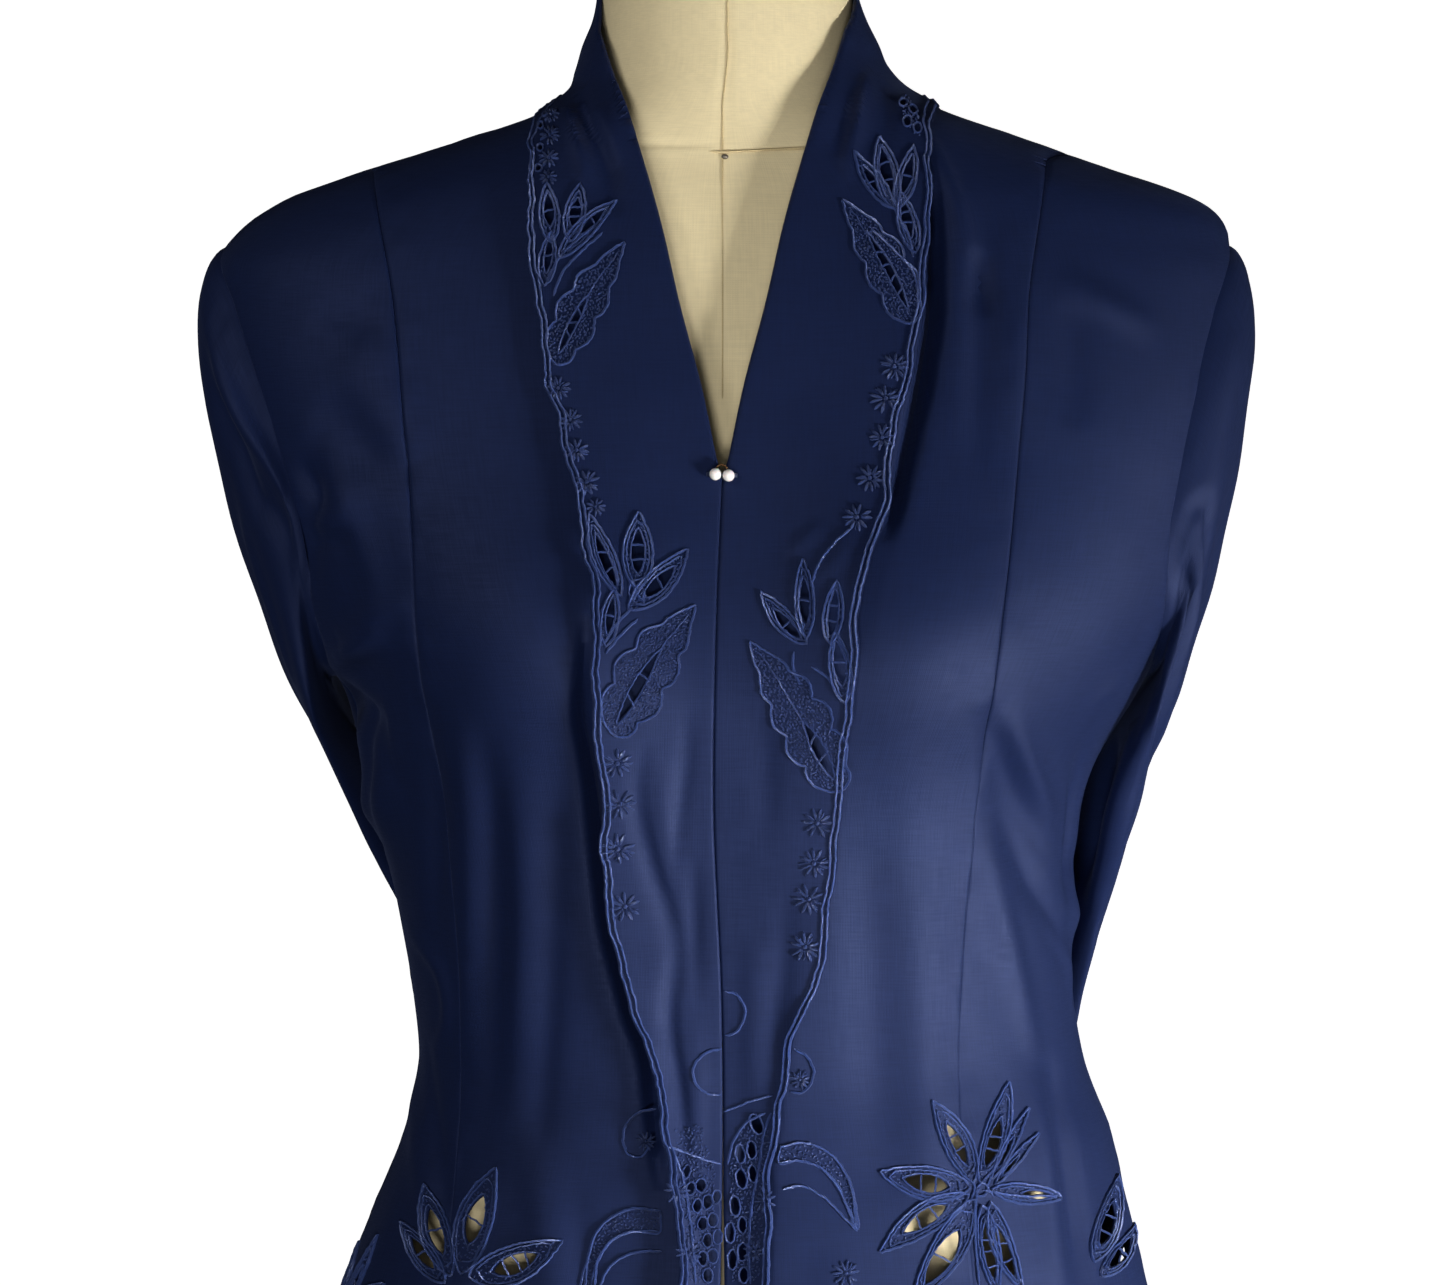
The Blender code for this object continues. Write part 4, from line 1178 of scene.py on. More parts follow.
class Cloth:
    """The blouse's cloth with its folds, before it is cut."""

    gap_reach = 0.0045
    gap_rows = 7

    def __init__(self) -> None:
        """Set the folds on the form of the blouse, with the rows of points that the narrow ones need."""
        laid = [(on_front(crease.path), crease) for crease in FRONT_FOLDS]
        laid += [(SHAPE.point(*(smooth_line(crease.path, 12) * (1, MM)).T), crease) for crease in BACK_FOLDS]
        self.folds = CreaseField(laid)
        laid, self.rows = [], []
        for crease in GAP_FOLDS:
            places = at_front(smooth_line(crease.path, 300))
            laid.append((SHAPE.point(*places.T), crease))
            row = to_flat(places)
            across = leftwards(np.gradient(row, axis=0))
            offs = np.linspace(-self.gap_reach, self.gap_reach, self.gap_rows)
            self.rows += [row + across * off for off in offs]
        self.gaps = CreaseField(laid, 60)

    def sag(self, points: Array) -> Array:
        """Give the cloth's slow wandering, which dies away where it lies on the shoulders."""
        free = np.interp(points[:, 2], (0.80, 1.30, 1.385), (1.0, 0.7, 0.12))
        broad = loose_noise(points, 0.075, 3) * 0.0009 + loose_noise(points, 0.032, 5) * 0.00035
        return (broad + 0.0004) * free

    def rise(self, turn: Array, z: Array) -> tuple[Array, Array, Array]:
        """Give smooth points of the cloth, their normals, and how far the folds move them out."""
        points = SHAPE.point(turn, z)
        normals = SHAPE.normal(turn, z)
        return points, normals, self.folds.height(points, normals) + self.sag(points)

    def face(self, flat: Array) -> tuple[Array, Array]:
        """Give points and rough normals of the cloth's face at places in the flat."""
        points, normals, high = self.rise(flat[:, 0] / FLAT, flat[:, 1])
        return points + normals * high[:, None], normals

    def surface(self, flat: Array) -> tuple[Array, Array]:
        """Give points and true normals of the cloth's face at places in the flat."""
        return true_surface(self.face, flat)


@dataclass(frozen=True)
class PanelCut:
    """How one body panel is cut: its seams and its plain edges, as turns and heights."""

    name: str
    outline: Line
    plain: tuple[Line, ...]
    gap: float = 0.0030


@dataclass
class Bodice:
    """The five body panels: two centre fronts, two side fronts and the back."""

    cloth: Cloth
    dyes: Dyes
    holes: list[Line]
    wall: float = 0.0006
    seam_deep: float = 0.0008
    seam_wide: float = 0.00028
    pucker: float = 0.0006
    dart_deep: float = 0.0014
    hem_fold: float = 0.0090
    hem_thick: float = 0.0005
    dart_wide: float = 0.0022
    edge_gap: float = 0.0026
    back_gap: float = 0.0044

    def cuts(self) -> list[PanelCut]:
        """List the panels with their outlines."""
        cuts = []
        for side in Side:
            line = SHAPE.centre_line(side)
            edge = joined(stretch(line, SHAPE.hem_front, SHAPE.clasp), SHAPE.neckline(side)[1:])
            front = SHAPE.spaced(edge, self.edge_gap)
            seam = SHAPE.spaced(SHAPE.princess(side), self.edge_gap)
            tip, outer, split, inner, neck = SHAPE.on_side(side, SHAPE.shoulder)
            inner_seam = SHAPE.spaced((split, inner, neck), self.edge_gap)
            outer_seam = SHAPE.spaced((tip, outer, split), self.edge_gap)
            hem = self.ruled(front[0], seam[0])
            loop = joined(front, inner_seam[::-1], seam[::-1], hem[::-1])[:-1]
            cuts.append(PanelCut("front_centre_" + side.label, loop, (hem, front), 0.0024))
            flank = joined(SHAPE.spaced(SHAPE.side_seam(side), self.edge_gap),
                           SHAPE.spaced(SHAPE.on_side(side, SHAPE.armhole_front), self.edge_gap))
            low = self.ruled(seam[0], flank[0])
            loop = joined(seam, outer_seam[::-1], flank[::-1], low[::-1])[:-1]
            cuts.append(PanelCut("front_side_" + side.label, loop, (low,)))
        cuts.append(self.back_cut())
        return cuts

    def back_cut(self) -> PanelCut:
        """Give the back's outline."""
        halves = []
        for side in Side:
            flank = joined(SHAPE.spaced(SHAPE.side_seam(side), self.back_gap),
                           SHAPE.spaced(SHAPE.on_side(side, SHAPE.armhole_back), self.back_gap),
                           SHAPE.spaced(SHAPE.on_side(side, SHAPE.shoulder), self.back_gap))
            if side is Side.RIGHT:
                flank[:, 0] += 360
            halves.append(flank)
        left, right = halves
        top = np.array((180.0, SHAPE.back_neck))
        neck = joined(self.ruled(left[-1], top), self.ruled(top, right[-1]))
        hem = self.ruled(left[0], right[0])
        loop = joined(left, neck, right[::-1], hem[::-1])[:-1]
        return PanelCut("back", loop, (hem,), 0.0045)

    def ruled(self, start: Array, end: Array) -> Line:
        """Space points along a straight line of turn and height."""
        span = np.linalg.norm(to_flat(end - start))
        return np.linspace(start, end, max(2, round(span / self.edge_gap) + 1))

    def build(self) -> list[tuple[Piece, PanelCut]]:
        """Cut and hang every panel."""
        return [(self.build_panel(cut), cut) for cut in self.cuts()]

    def build_panel(self, cut: PanelCut) -> Piece:
        """Cut one panel, hang it on the body and close it into a thin sheet."""
        skin = cut_flat(to_flat(cut.outline), self.holes, cut.gap, (0.0003, 0.0012), tuple(self.cloth.rows))
        points, normals, high = self.cloth.rise(skin.turn, skin.z)
        high = high + self.cloth.gaps.height(points, normals)
        plain = np.full(len(points), np.inf)
        hem = far_from(to_flat(cut.plain[0]), skin.flat, False)
        for line in cut.plain:
            plain = np.minimum(plain, far_from(to_flat(line), skin.flat, False))
        sewn = np.where(plain < skin.edge_far + 1e-6, np.inf, skin.edge_far)
        deep = self.seam_deep * np.interp(skin.z, (1.140, 1.185), (0.35, 1.0))
        high = high - deep * bell(sewn, self.seam_wide)
        gather = bell(sewn, 0.007) * (1 - bell(sewn, 0.0015))
        high = high + self.pucker * gather * loose_noise(points * (0.5, 0.5, 1.0), 0.016, 11)
        high = high + self.hem_thick * bell(np.maximum(hem - self.hem_fold, 0), 0.0006)
        if cut.name == "back":
            for dart in BACK_DARTS:
                far = far_from(to_flat(smooth_line(np.array(dart) * (1, MM), 40)), skin.flat, False)
                high = high - self.dart_deep * bell(far, self.dart_wide)
                high = high + 0.0008 * bell(far - 0.006, 0.004)
        outer = points + normals * high[:, None]
        every, faces = close_skin(outer, outer - self.wall * normals, skin.faces)
        return make_piece("cloth_" + cut.name, every, faces, np.concatenate((skin.flat, skin.flat)),
                          self.dyes["cotton"], 50.0)


class LapelChart:
    """Share across a lapel, 0 at its folded edge and 1 at its free edge, read anywhere on it.

    Its rows run from 0 at the hem to 1 at the clasp, 2 at the side of the neck and 3 at the centre back.
    """

    steps = (330, 130, 110)
    columns = 9

    def __init__(self, side: Side) -> None:
        """Rule a grid over the lapel."""
        fold = SHAPE.fold(side)
        edge = SHAPE.at_x(side, SHAPE.lapel_edge, side.label)
        neck = np.concatenate((fold[-1:], SHAPE.on_side(side, SHAPE.collar_top)))
        fall = np.concatenate((edge[-1:], SHAPE.on_side(side, SHAPE.collar_fall)))
        clasp = SHAPE.clasp
        below, above, round_neck = self.steps
        self.inner = joined(SHAPE.even(stretch(SHAPE.centre_line(side), SHAPE.hem_front, clasp), below),
                            SHAPE.even(fold, above), SHAPE.even(neck, round_neck))
        self.outer = joined(SHAPE.even(stretch(edge, edge[0, 1], clasp), below),
                            SHAPE.even(stretch(edge, clasp, edge[-1, 1]), above),
                            SHAPE.even(fall, round_neck))
        shares = np.linspace(0, 1, self.columns)
        share = shares[None, :, None]
        grid = self.inner[:, None] * (1 - share) + self.outer[:, None] * share
        rows, columns = grid.shape[:2]
        self.flat = to_flat(grid).reshape(-1, 2)
        self.share = np.tile(shares, rows)
        self.rows = joined(*(np.linspace(part, part + 1, count + 1) for part, count in enumerate(self.steps)))
        self.row = np.repeat(self.rows, columns)
        i = np.arange((rows - 1) * columns).reshape(rows - 1, columns)[:, :-1].ravel()
        self.faces = np.concatenate((np.stack((i, i + 1, i + columns + 1), axis=1),
                                     np.stack((i, i + columns + 1, i + columns), axis=1)))
        self.tree = BVHTree.FromPolygons([(*p, 0.0) for p in self.flat], self.faces.tolist())

    def locate(self, flat: Array) -> tuple[Array, Array]:
        """Give the share and the row of places in the flat."""
        found = [self.tree.find_nearest((*place, 0.0)) for place in flat]
        spots = np.array([tuple(hit[0])[:2] for hit in found])
        corners = self.faces[[hit[2] for hit in found]]
        a, b, c = (self.flat[corners[:, k]] for k in range(3))
        one, two, off = b - a, c - a, spots - a
        area = one[:, 0] * two[:, 1] - one[:, 1] * two[:, 0]
        area = np.where(np.abs(area) < 1e-14, 1e-14, area)
        s = (off[:, 0] * two[:, 1] - off[:, 1] * two[:, 0]) / area
        t = (one[:, 0] * off[:, 1] - one[:, 1] * off[:, 0]) / area
        weights = np.stack((1 - s - t, s, t), axis=1)
        return np.sum(weights * self.share[corners], axis=1), np.sum(weights * self.row[corners], axis=1)


# Folds of the lapels alone, with paths in millimetres seen from straight ahead
LAPEL_FOLDS = creases(
    (4.6, -3.4, 1, -57, 1431, -57, 1421, -54, 1412, -48.5, 1402, -46, 1387, -43.5, 1376),
    (4, 1.6, 1, -50, 1423, -46, 1410, -43, 1396), (3.6, 2.4, 1, -62, 1424, -60, 1412, -56, 1398, -55, 1388),
    (3.4, 3.2, 1, 59, 1440, 56, 1426, 53.5, 1413, 51, 1400, 51.5, 1390),
    (4, -2, 1, 53, 1432, 50, 1416, 46, 1400), (4, -1.6, 1, 66, 1434, 66, 1418, 63, 1402),
    (3, 1.2, 1, 40, 1250, 33, 1243, 27, 1236), (3, 1, 1, 52, 1248, 44, 1232, 38, 1226),
)


@dataclass
class LapelBand:
    """One half of the collar band, whose front end falls to the hem as a lapel."""

    side: Side
    cloth: Cloth
    dyes: Dyes
    wall: float = 0.0006
    face: float = 0.0012
    fold_gap: float = 0.0012
    free_gap: float = 0.0040
    collar_gap: float = 0.0018
    droop: float = 0.0045
    roll: float = 0.0011
    gap: float = 0.0023
    soften: int = 15

    def __post_init__(self) -> None:
        """Chart the lapel and set its folds."""
        self.chart = LapelChart(self.side)
        self.folds = CreaseField([(on_front(crease.path), crease) for crease in LAPEL_FOLDS
                                  if crease.path[0, 0] * self.side.value > 0])

    def edge(self) -> Line:
        """Give the free edge in the flat with its small waves, from the hem round to the centre back."""
        line = to_flat(self.chart.outer)
        soft = np.ones(self.soften) / self.soften
        half = self.soften // 2
        line[half:-half] = np.stack([np.convolve(line[:, k], soft, "valid") for k in range(2)], axis=-1)
        run = run_along(line)
        across = leftwards(np.gradient(line, axis=0))
        along = np.stack((run, 0 * run, 0 * run), axis=-1)
        seed = 21 + self.side.value
        wave = 0.0011 * loose_noise(along, 0.024, seed) + 0.0005 * loose_noise(along, 0.009, seed + 7)
        wave *= np.clip(np.minimum(run, run[-1] - run) / 0.02, 0, 1)
        wave *= np.interp(self.chart.rows, (1.75, 1.95), (1.0, 0.2))
        return line + across * wave[:, None]

    def along_edge(self, far: float) -> Line:
        """Give the line in the flat that follows the free edge at a distance inside it."""
        edge = self.edge()
        inner = to_flat(self.chart.inner)
        wide = np.linalg.norm(SHAPE.point(inner[:, 0] / FLAT, inner[:, 1]) -
                              SHAPE.point(edge[:, 0] / FLAT, edge[:, 1]), axis=1)
        return edge + (inner - edge) * (far / wide)[:, None]

    def lift(self, share: Array, row: Array, z: Array) -> Array:
        """Give how far the band stands off the blouse."""
        gaps = (self.free_gap, self.free_gap, self.free_gap * 0.6, self.fold_gap, self.fold_gap,
                self.collar_gap)
        free = np.interp(row, (0, 1, 1.7, 1.9, 2.2, 3), gaps)
        droop = self.droop * np.interp(z, (0.80, 0.93, 1.02, 1.14, 1.20, 1.26),
                                       (0.5, 1.0, 1.0, 1.0, 0.5, 0.1))
        droop = np.where(row < 2, droop, 0)
        return self.fold_gap + (free - self.fold_gap + droop) * np.clip(share, 0, 1) ** 1.5

    def place(self, flat: Array) -> tuple[Array, Array]:
        """Give points and rough normals of the band's face at places in the flat."""
        turn, z = flat[:, 0] / FLAT, flat[:, 1]
        share, row = self.chart.locate(flat)
        points, normals, high = self.cloth.rise(turn, z)
        high = np.maximum(high, -0.004) * np.interp(row, (0, 1.9, 2.2, 3), (1, 1, 0.3, 0.3))
        over = np.interp(z, (0.80, 1.05, 1.25), (0.0008, 0.0008, 0.0)) if self.side is Side.RIGHT else 0
        over = over * np.clip(1 - share * 4, 0, 1)
        soft = loose_noise(points, 0.045, 31) * 0.0005 * np.clip(share * 3, 0, 1)
        high = high + self.lift(share, row, z) + self.face + self.folds.height(points, normals) + over + soft
        return points + normals * high[:, None], normals

    def surface(self, flat: Array) -> tuple[Array, Array]:
        """Give points and true normals of the band's face at places in the flat."""
        return true_surface(self.place, flat)

    def build(self, holes: list[Line]) -> Piece:
        """Cut the band with its holes, which are loops in the flat, and hang it on the blouse."""
        inner = to_flat(self.chart.inner)[::2]
        outer = self.edge()
        end = np.linspace(inner[-1], outer[-1], 40)
        low = np.linspace(outer[0], inner[0], 14)
        loop = joined(inner, end, outer[::-1], low)[:-1]
        skin = cut_flat(loop, holes, self.gap, (0.0005, 0.0012))
        outer_face, normals = self.place(skin.flat)
        near = far_from(inner, skin.flat, False)
        drop = self.roll - np.sqrt(np.maximum(self.roll ** 2 - np.maximum(self.roll - near, 0) ** 2, 0))
        outer_face = outer_face - normals * (0.9 * drop)[:, None]
        thick = np.where(near < 0.002, self.wall * 1.6, self.wall)[:, None]
        every, faces = close_skin(outer_face, outer_face - normals * thick, skin.faces)
        return make_piece("band_" + self.side.label, every, faces, np.concatenate((skin.flat, skin.flat)),
                          self.dyes["band"])


# Level sections of the sleeves: front and back edges, and half the thickness
SLEEVE_ROWS = {
    Side.LEFT: table("z front_x front_y back_x back_y thin",
                (0.856, 0.116, 0.145, 0.006, 0.167, 0.011), (0.91, 0.13, 0.125, 0.018, 0.161, 0.011),
                (0.97, 0.144, 0.096, 0.035, 0.157, 0.0105), (1.03, 0.151, 0.062, 0.066, 0.154, 0.01),
                (1.07, 0.157, 0.034, 0.096, 0.15, 0.01), (1.12, 0.1665, -0.002, 0.134, 0.139, 0.01),
                (1.16, 0.176, -0.034, 0.163, 0.115, 0.01)),
    Side.RIGHT: table("z front_x front_y back_x back_y thin",
                (0.856, 0.112, 0.142, 0.006, 0.167, 0.011), (0.91, 0.119, 0.126, 0.016, 0.162, 0.011),
                (0.97, 0.124, 0.102, 0.029, 0.157, 0.0105), (1.03, 0.127, 0.07, 0.05, 0.148, 0.01),
                (1.079, 0.134, 0.052, 0.072, 0.15, 0.0085), (1.1235, 0.152, 0.02, 0.107, 0.146, 0.007),
                (1.165, 0.167, -0.03, 0.153, 0.117, 0.0065)),
}

# Folds of the sleeves, with paths as shares down the length and round it
SLEEVE_FOLDS = {
    Side.LEFT: creases(
        (7, 6.2, 1, 0.25, 0.37, 0.31, 0.33, 0.37, 0.3, 0.43, 0.28, 0.48, 0.28),
        (6, -5, 1, 0.27, 0.43, 0.33, 0.4, 0.4, 0.37, 0.47, 0.35),
        (4, -3.4, 1, 0.02, 0.29, 0.1, 0.23, 0.2, 0.15),
        (4, 2.4, 1, 0.02, 0.33, 0.11, 0.26, 0.22, 0.18, 0.32, 0.13),
        (3.6, -4, 1, 0.02, 0.36, 0.12, 0.29, 0.24, 0.21, 0.36, 0.16),
        (4, 3.4, 1, 0.04, 0.42, 0.16, 0.34, 0.28, 0.28, 0.44, 0.24),
        (3.4, -4, 1, 0.1, 0.38, 0.22, 0.31, 0.34, 0.24, 0.5, 0.2),
        (8, 2.4, 1, 0.04, 0.07, 0.2, 0.07, 0.4, 0.06, 0.6, 0.05), (8, -2, 1, 0.1, 0.02, 0.28, 0.01, 0.5, 0),
        (9, 2.6, 1, 0.06, 0.94, 0.22, 0.92, 0.45, 0.9, 0.7, 0.9),
        (8, -2.2, 1, 0.12, 0.86, 0.3, 0.84, 0.52, 0.83), (8, 2.6, 1, 0.4, 0.18, 0.52, 0.12, 0.62, 0.04),
        (8, -2.2, 1, 0.56, 0.16, 0.66, 0.08, 0.74, 0.98), (9, 2.4, 1, 0.62, 0.9, 0.72, 0.86, 0.84, 0.84),
        (8, 2, 1, 0.7, 0.12, 0.84, 0.1, 0.97, 0.1), (8, 1.6, 1, 0.2, 0.4, 0.34, 0.45, 0.5, 0.48),
    ),
    Side.RIGHT: creases(
        (5, 5, 1, 0.045, 0.05, 0.06, 0.09, 0.075, 0.14, 0.067, 0.19, 0.045, 0.25, 0.035, 0.3, 0.025, 0.33,
         0.02, 0.37), (7, -5, 1, 0.09, 0.06, 0.11, 0.11, 0.125, 0.16, 0.115, 0.21, 0.09, 0.26, 0.08, 0.31),
        (4, 2.4, 1, 0.16, 0.1, 0.2, 0.13, 0.26, 0.16),
        (8, 2.2, 1, 0.05, 0.06, 0.2, 0.06, 0.42, 0.05, 0.6, 0.06), (8, -2, 1, 0.1, 0, 0.3, 0.99, 0.5, 0.98),
        (9, 2.8, 1, 0.05, 0.93, 0.24, 0.92, 0.46, 0.91, 0.68, 0.88),
        (8, -2.2, 1, 0.14, 0.85, 0.32, 0.84, 0.54, 0.85), (8, 2.6, 1, 0.42, 0.16, 0.54, 0.1, 0.64, 0.02),
        (8, -2.4, 1, 0.58, 0.14, 0.68, 0.07, 0.76, 0.97), (9, 2.2, 1, 0.66, 0.92, 0.78, 0.9, 0.92, 0.91),
        (8, 1.6, 1, 0.22, 0.42, 0.36, 0.46, 0.52, 0.47),
    ),
}


@dataclass
class Sleeve:
    """One set-in sleeve: its cap swells out of the armhole, and its empty tube hangs to the cuff."""

    side: Side
    dyes: Dyes
    wall: float = 0.0006
    tuck: float = 0.0012
    swell_top: float = 0.090
    swell_front: tuple[float, float] = (0.085, 0.005)
    swell_under: float = 0.030
    cap_rise: float = 0.010
    cap_drop: float = 0.030
    half_ring: int = 62
    cap_rows: int = 46
    tube_rows: int = 104
    cuff_fold: float = 0.020
    girth: float = 0.34

    def __post_init__(self) -> None:
        """Choose the side's level sections."""
        self.rows = SLEEVE_ROWS[self.side]

    def ring(self) -> Array:
        """Give the armhole seam as a ring: shoulder tip, down the front, underarm and up the back."""
        halves = [SHAPE.even(SHAPE.on_side(self.side, points), self.half_ring)
                  for points in (SHAPE.armhole_front, SHAPE.armhole_back)]
        line = np.concatenate((halves[0][::-1], halves[1][1:-1]))
        seam = SHAPE.point(*line.T)
        normal = SHAPE.normal(*line.T)
        towards = seam.mean(axis=0) - seam
        towards -= normal * np.sum(towards * normal, axis=-1, keepdims=True)
        return seam - self.tuck * unit(towards) - normal * 0.0008

    def section(self, z: float, around: Array) -> Array:
        """Give a level section; around runs outer side, front, inner side, back."""
        front = np.array((self.side.value * read(self.rows, "front_x", z), read(self.rows, "front_y", z)))
        back = np.array((self.side.value * read(self.rows, "back_x", z), read(self.rows, "back_y", z)))
        wide = (front - back) / 2
        outward = self.side.value * np.array((-wide[1], wide[0])) / np.linalg.norm(wide)
        outward = outward * read(self.rows, "thin", z)
        level = (front + back) / 2 + np.cos(around)[:, None] * outward + np.sin(around)[:, None] * wide
        return np.concatenate((level, np.full((len(around), 1), z)), axis=1)

    def grid(self) -> Array:
        """Give the smooth sleeve as rows of points from the armhole to the cuff."""
        ring = self.ring()
        count = len(ring)
        around = np.linspace(0, 2 * np.pi, count, endpoint=False)
        top = self.rows["z"][-1]
        first = self.section(top, around)
        fall = -unit(first - self.section(top - 0.01, around))
        span = np.linalg.norm(first - ring, axis=1, keepdims=True)
        swell = self.swell_front[self.side is Side.RIGHT] * np.ones(count)
        swell = np.where(np.cos(around) > 0, swell + (self.swell_top - swell) * np.cos(around), swell)
        swell = swell + (self.swell_under - swell) * np.maximum(-np.cos(around), 0)
        upper = (1 + np.cos(around)) / 2
        leave = np.stack((self.side.value * swell, 0 * swell, self.cap_rise - self.cap_drop * upper), axis=-1)
        rows = []
        for t in np.linspace(0, 1, self.cap_rows + 1):
            rise = t * t * (3 - 2 * t)
            rows.append((1 - rise) * ring + rise * first + t * (1 - t) ** 2 * leave
                        + t * t * (t - 1) * fall * span)
        for z in np.linspace(top, self.rows["z"][0], self.tube_rows + 1)[1:]:
            rows.append(self.section(z, around))
        return np.array(rows)

    def crease_field(self, grid: Array) -> CreaseField:
        """Lay the sleeve's folds on its smooth grid."""
        rows, count = grid.shape[:2]
        laid = []
        for crease in SLEEVE_FOLDS[self.side]:
            path = crease.path.copy()
            path[:, 1] = np.unwrap(path[:, 1] * 2 * np.pi) / (2 * np.pi)
            path = smooth_line(path, 12)
            at = np.clip(np.round(path[:, 0] * (rows - 1)).astype(int), 0, rows - 1)
            laid.append((grid[at, np.round(path[:, 1] * count).astype(int) % count], crease))
        return CreaseField(laid)

    def build(self) -> Piece:
        """Build the sleeve with its folds, its puckered seam and its cuff hem."""
        grid = self.grid()
        rows, count = grid.shape[:2]
        middle = grid.mean(axis=1, keepdims=True)
        around = np.roll(grid, -1, axis=1) - np.roll(grid, 1, axis=1)
        normal = unit(np.cross(around, np.gradient(grid, axis=0)))
        outwards = np.sum(normal * (grid - middle), axis=(1, 2)) > 0
        normal = np.where(outwards[:, None, None], normal, -normal)
        flat_points = grid.reshape(-1, 3)
        flat_normals = normal.reshape(-1, 3)
        high = self.crease_field(grid).height(flat_points, flat_normals)
        high += loose_noise(flat_points, 0.05, 41 + self.side.value) * 0.0008
        down = np.repeat(np.arange(rows), count)
        run = np.concatenate(([0], np.cumsum(np.linalg.norm(np.diff(grid, axis=0), axis=2).mean(axis=1))))
        from_seam = run[down]
        high *= np.clip(from_seam / 0.012, 0, 1)
        pucker = bell(from_seam - 0.004, 0.005) * loose_noise(flat_points, 0.015, 51)
        high += 0.0005 * pucker
        from_cuff = run[-1] - run[down]
        high += 0.0005 * bell(np.maximum(from_cuff - self.cuff_fold, 0), 0.0008)
        outer = flat_points + flat_normals * high[:, None]
        step = (np.arange(count) / count)[None, :] * self.girth
        places = np.stack(np.broadcast_arrays(step, run[:, None]), axis=-1)
        faces = ring_faces(rows, count, flip=True)
        total = rows * count
        every = faces + [tuple(i + total for i in reversed(face)) for face in faces]
        for start in (0, (rows - 1) * count):
            for j in range(count):
                k = (j + 1) % count
                wall = (start + j, start + k, start + k + total, start + j + total)
                every.append(wall if start else tuple(reversed(wall)))
        both = np.concatenate((outer, outer - self.wall * flat_normals))
        return face_outwards(make_piece("cloth_sleeve_" + self.side.label, both, every,
                                        np.concatenate((places.reshape(-1, 2),) * 2), self.dyes["cotton"]))


class Ground(Enum):
    """Cloth that embroidery is worked on."""

    BODICE = "bodice"
    LEFT_BAND = "left_band"
    RIGHT_BAND = "right_band"


@dataclass(frozen=True)
class Motifs:
    """Rows of motifs on one cloth, in millimetres seen from straight ahead.

    A petal has its base, its tip, its width, its bend, the shares where its hole starts and ends, the hole's
    width and the number of bars. A leaf has the number of waves after its bend. A blossom has its middle, its
    size and its turn. An eyelet has its middle, its length, its width and its lean. Cords and crescents are
    lines of points.
    """

    petals: tuple
    blossoms: tuple
    cords: tuple
    leaves: tuple = ()
    eyelets: tuple = ()
    crescents: tuple = ()
    cord_high: float = 0.0009


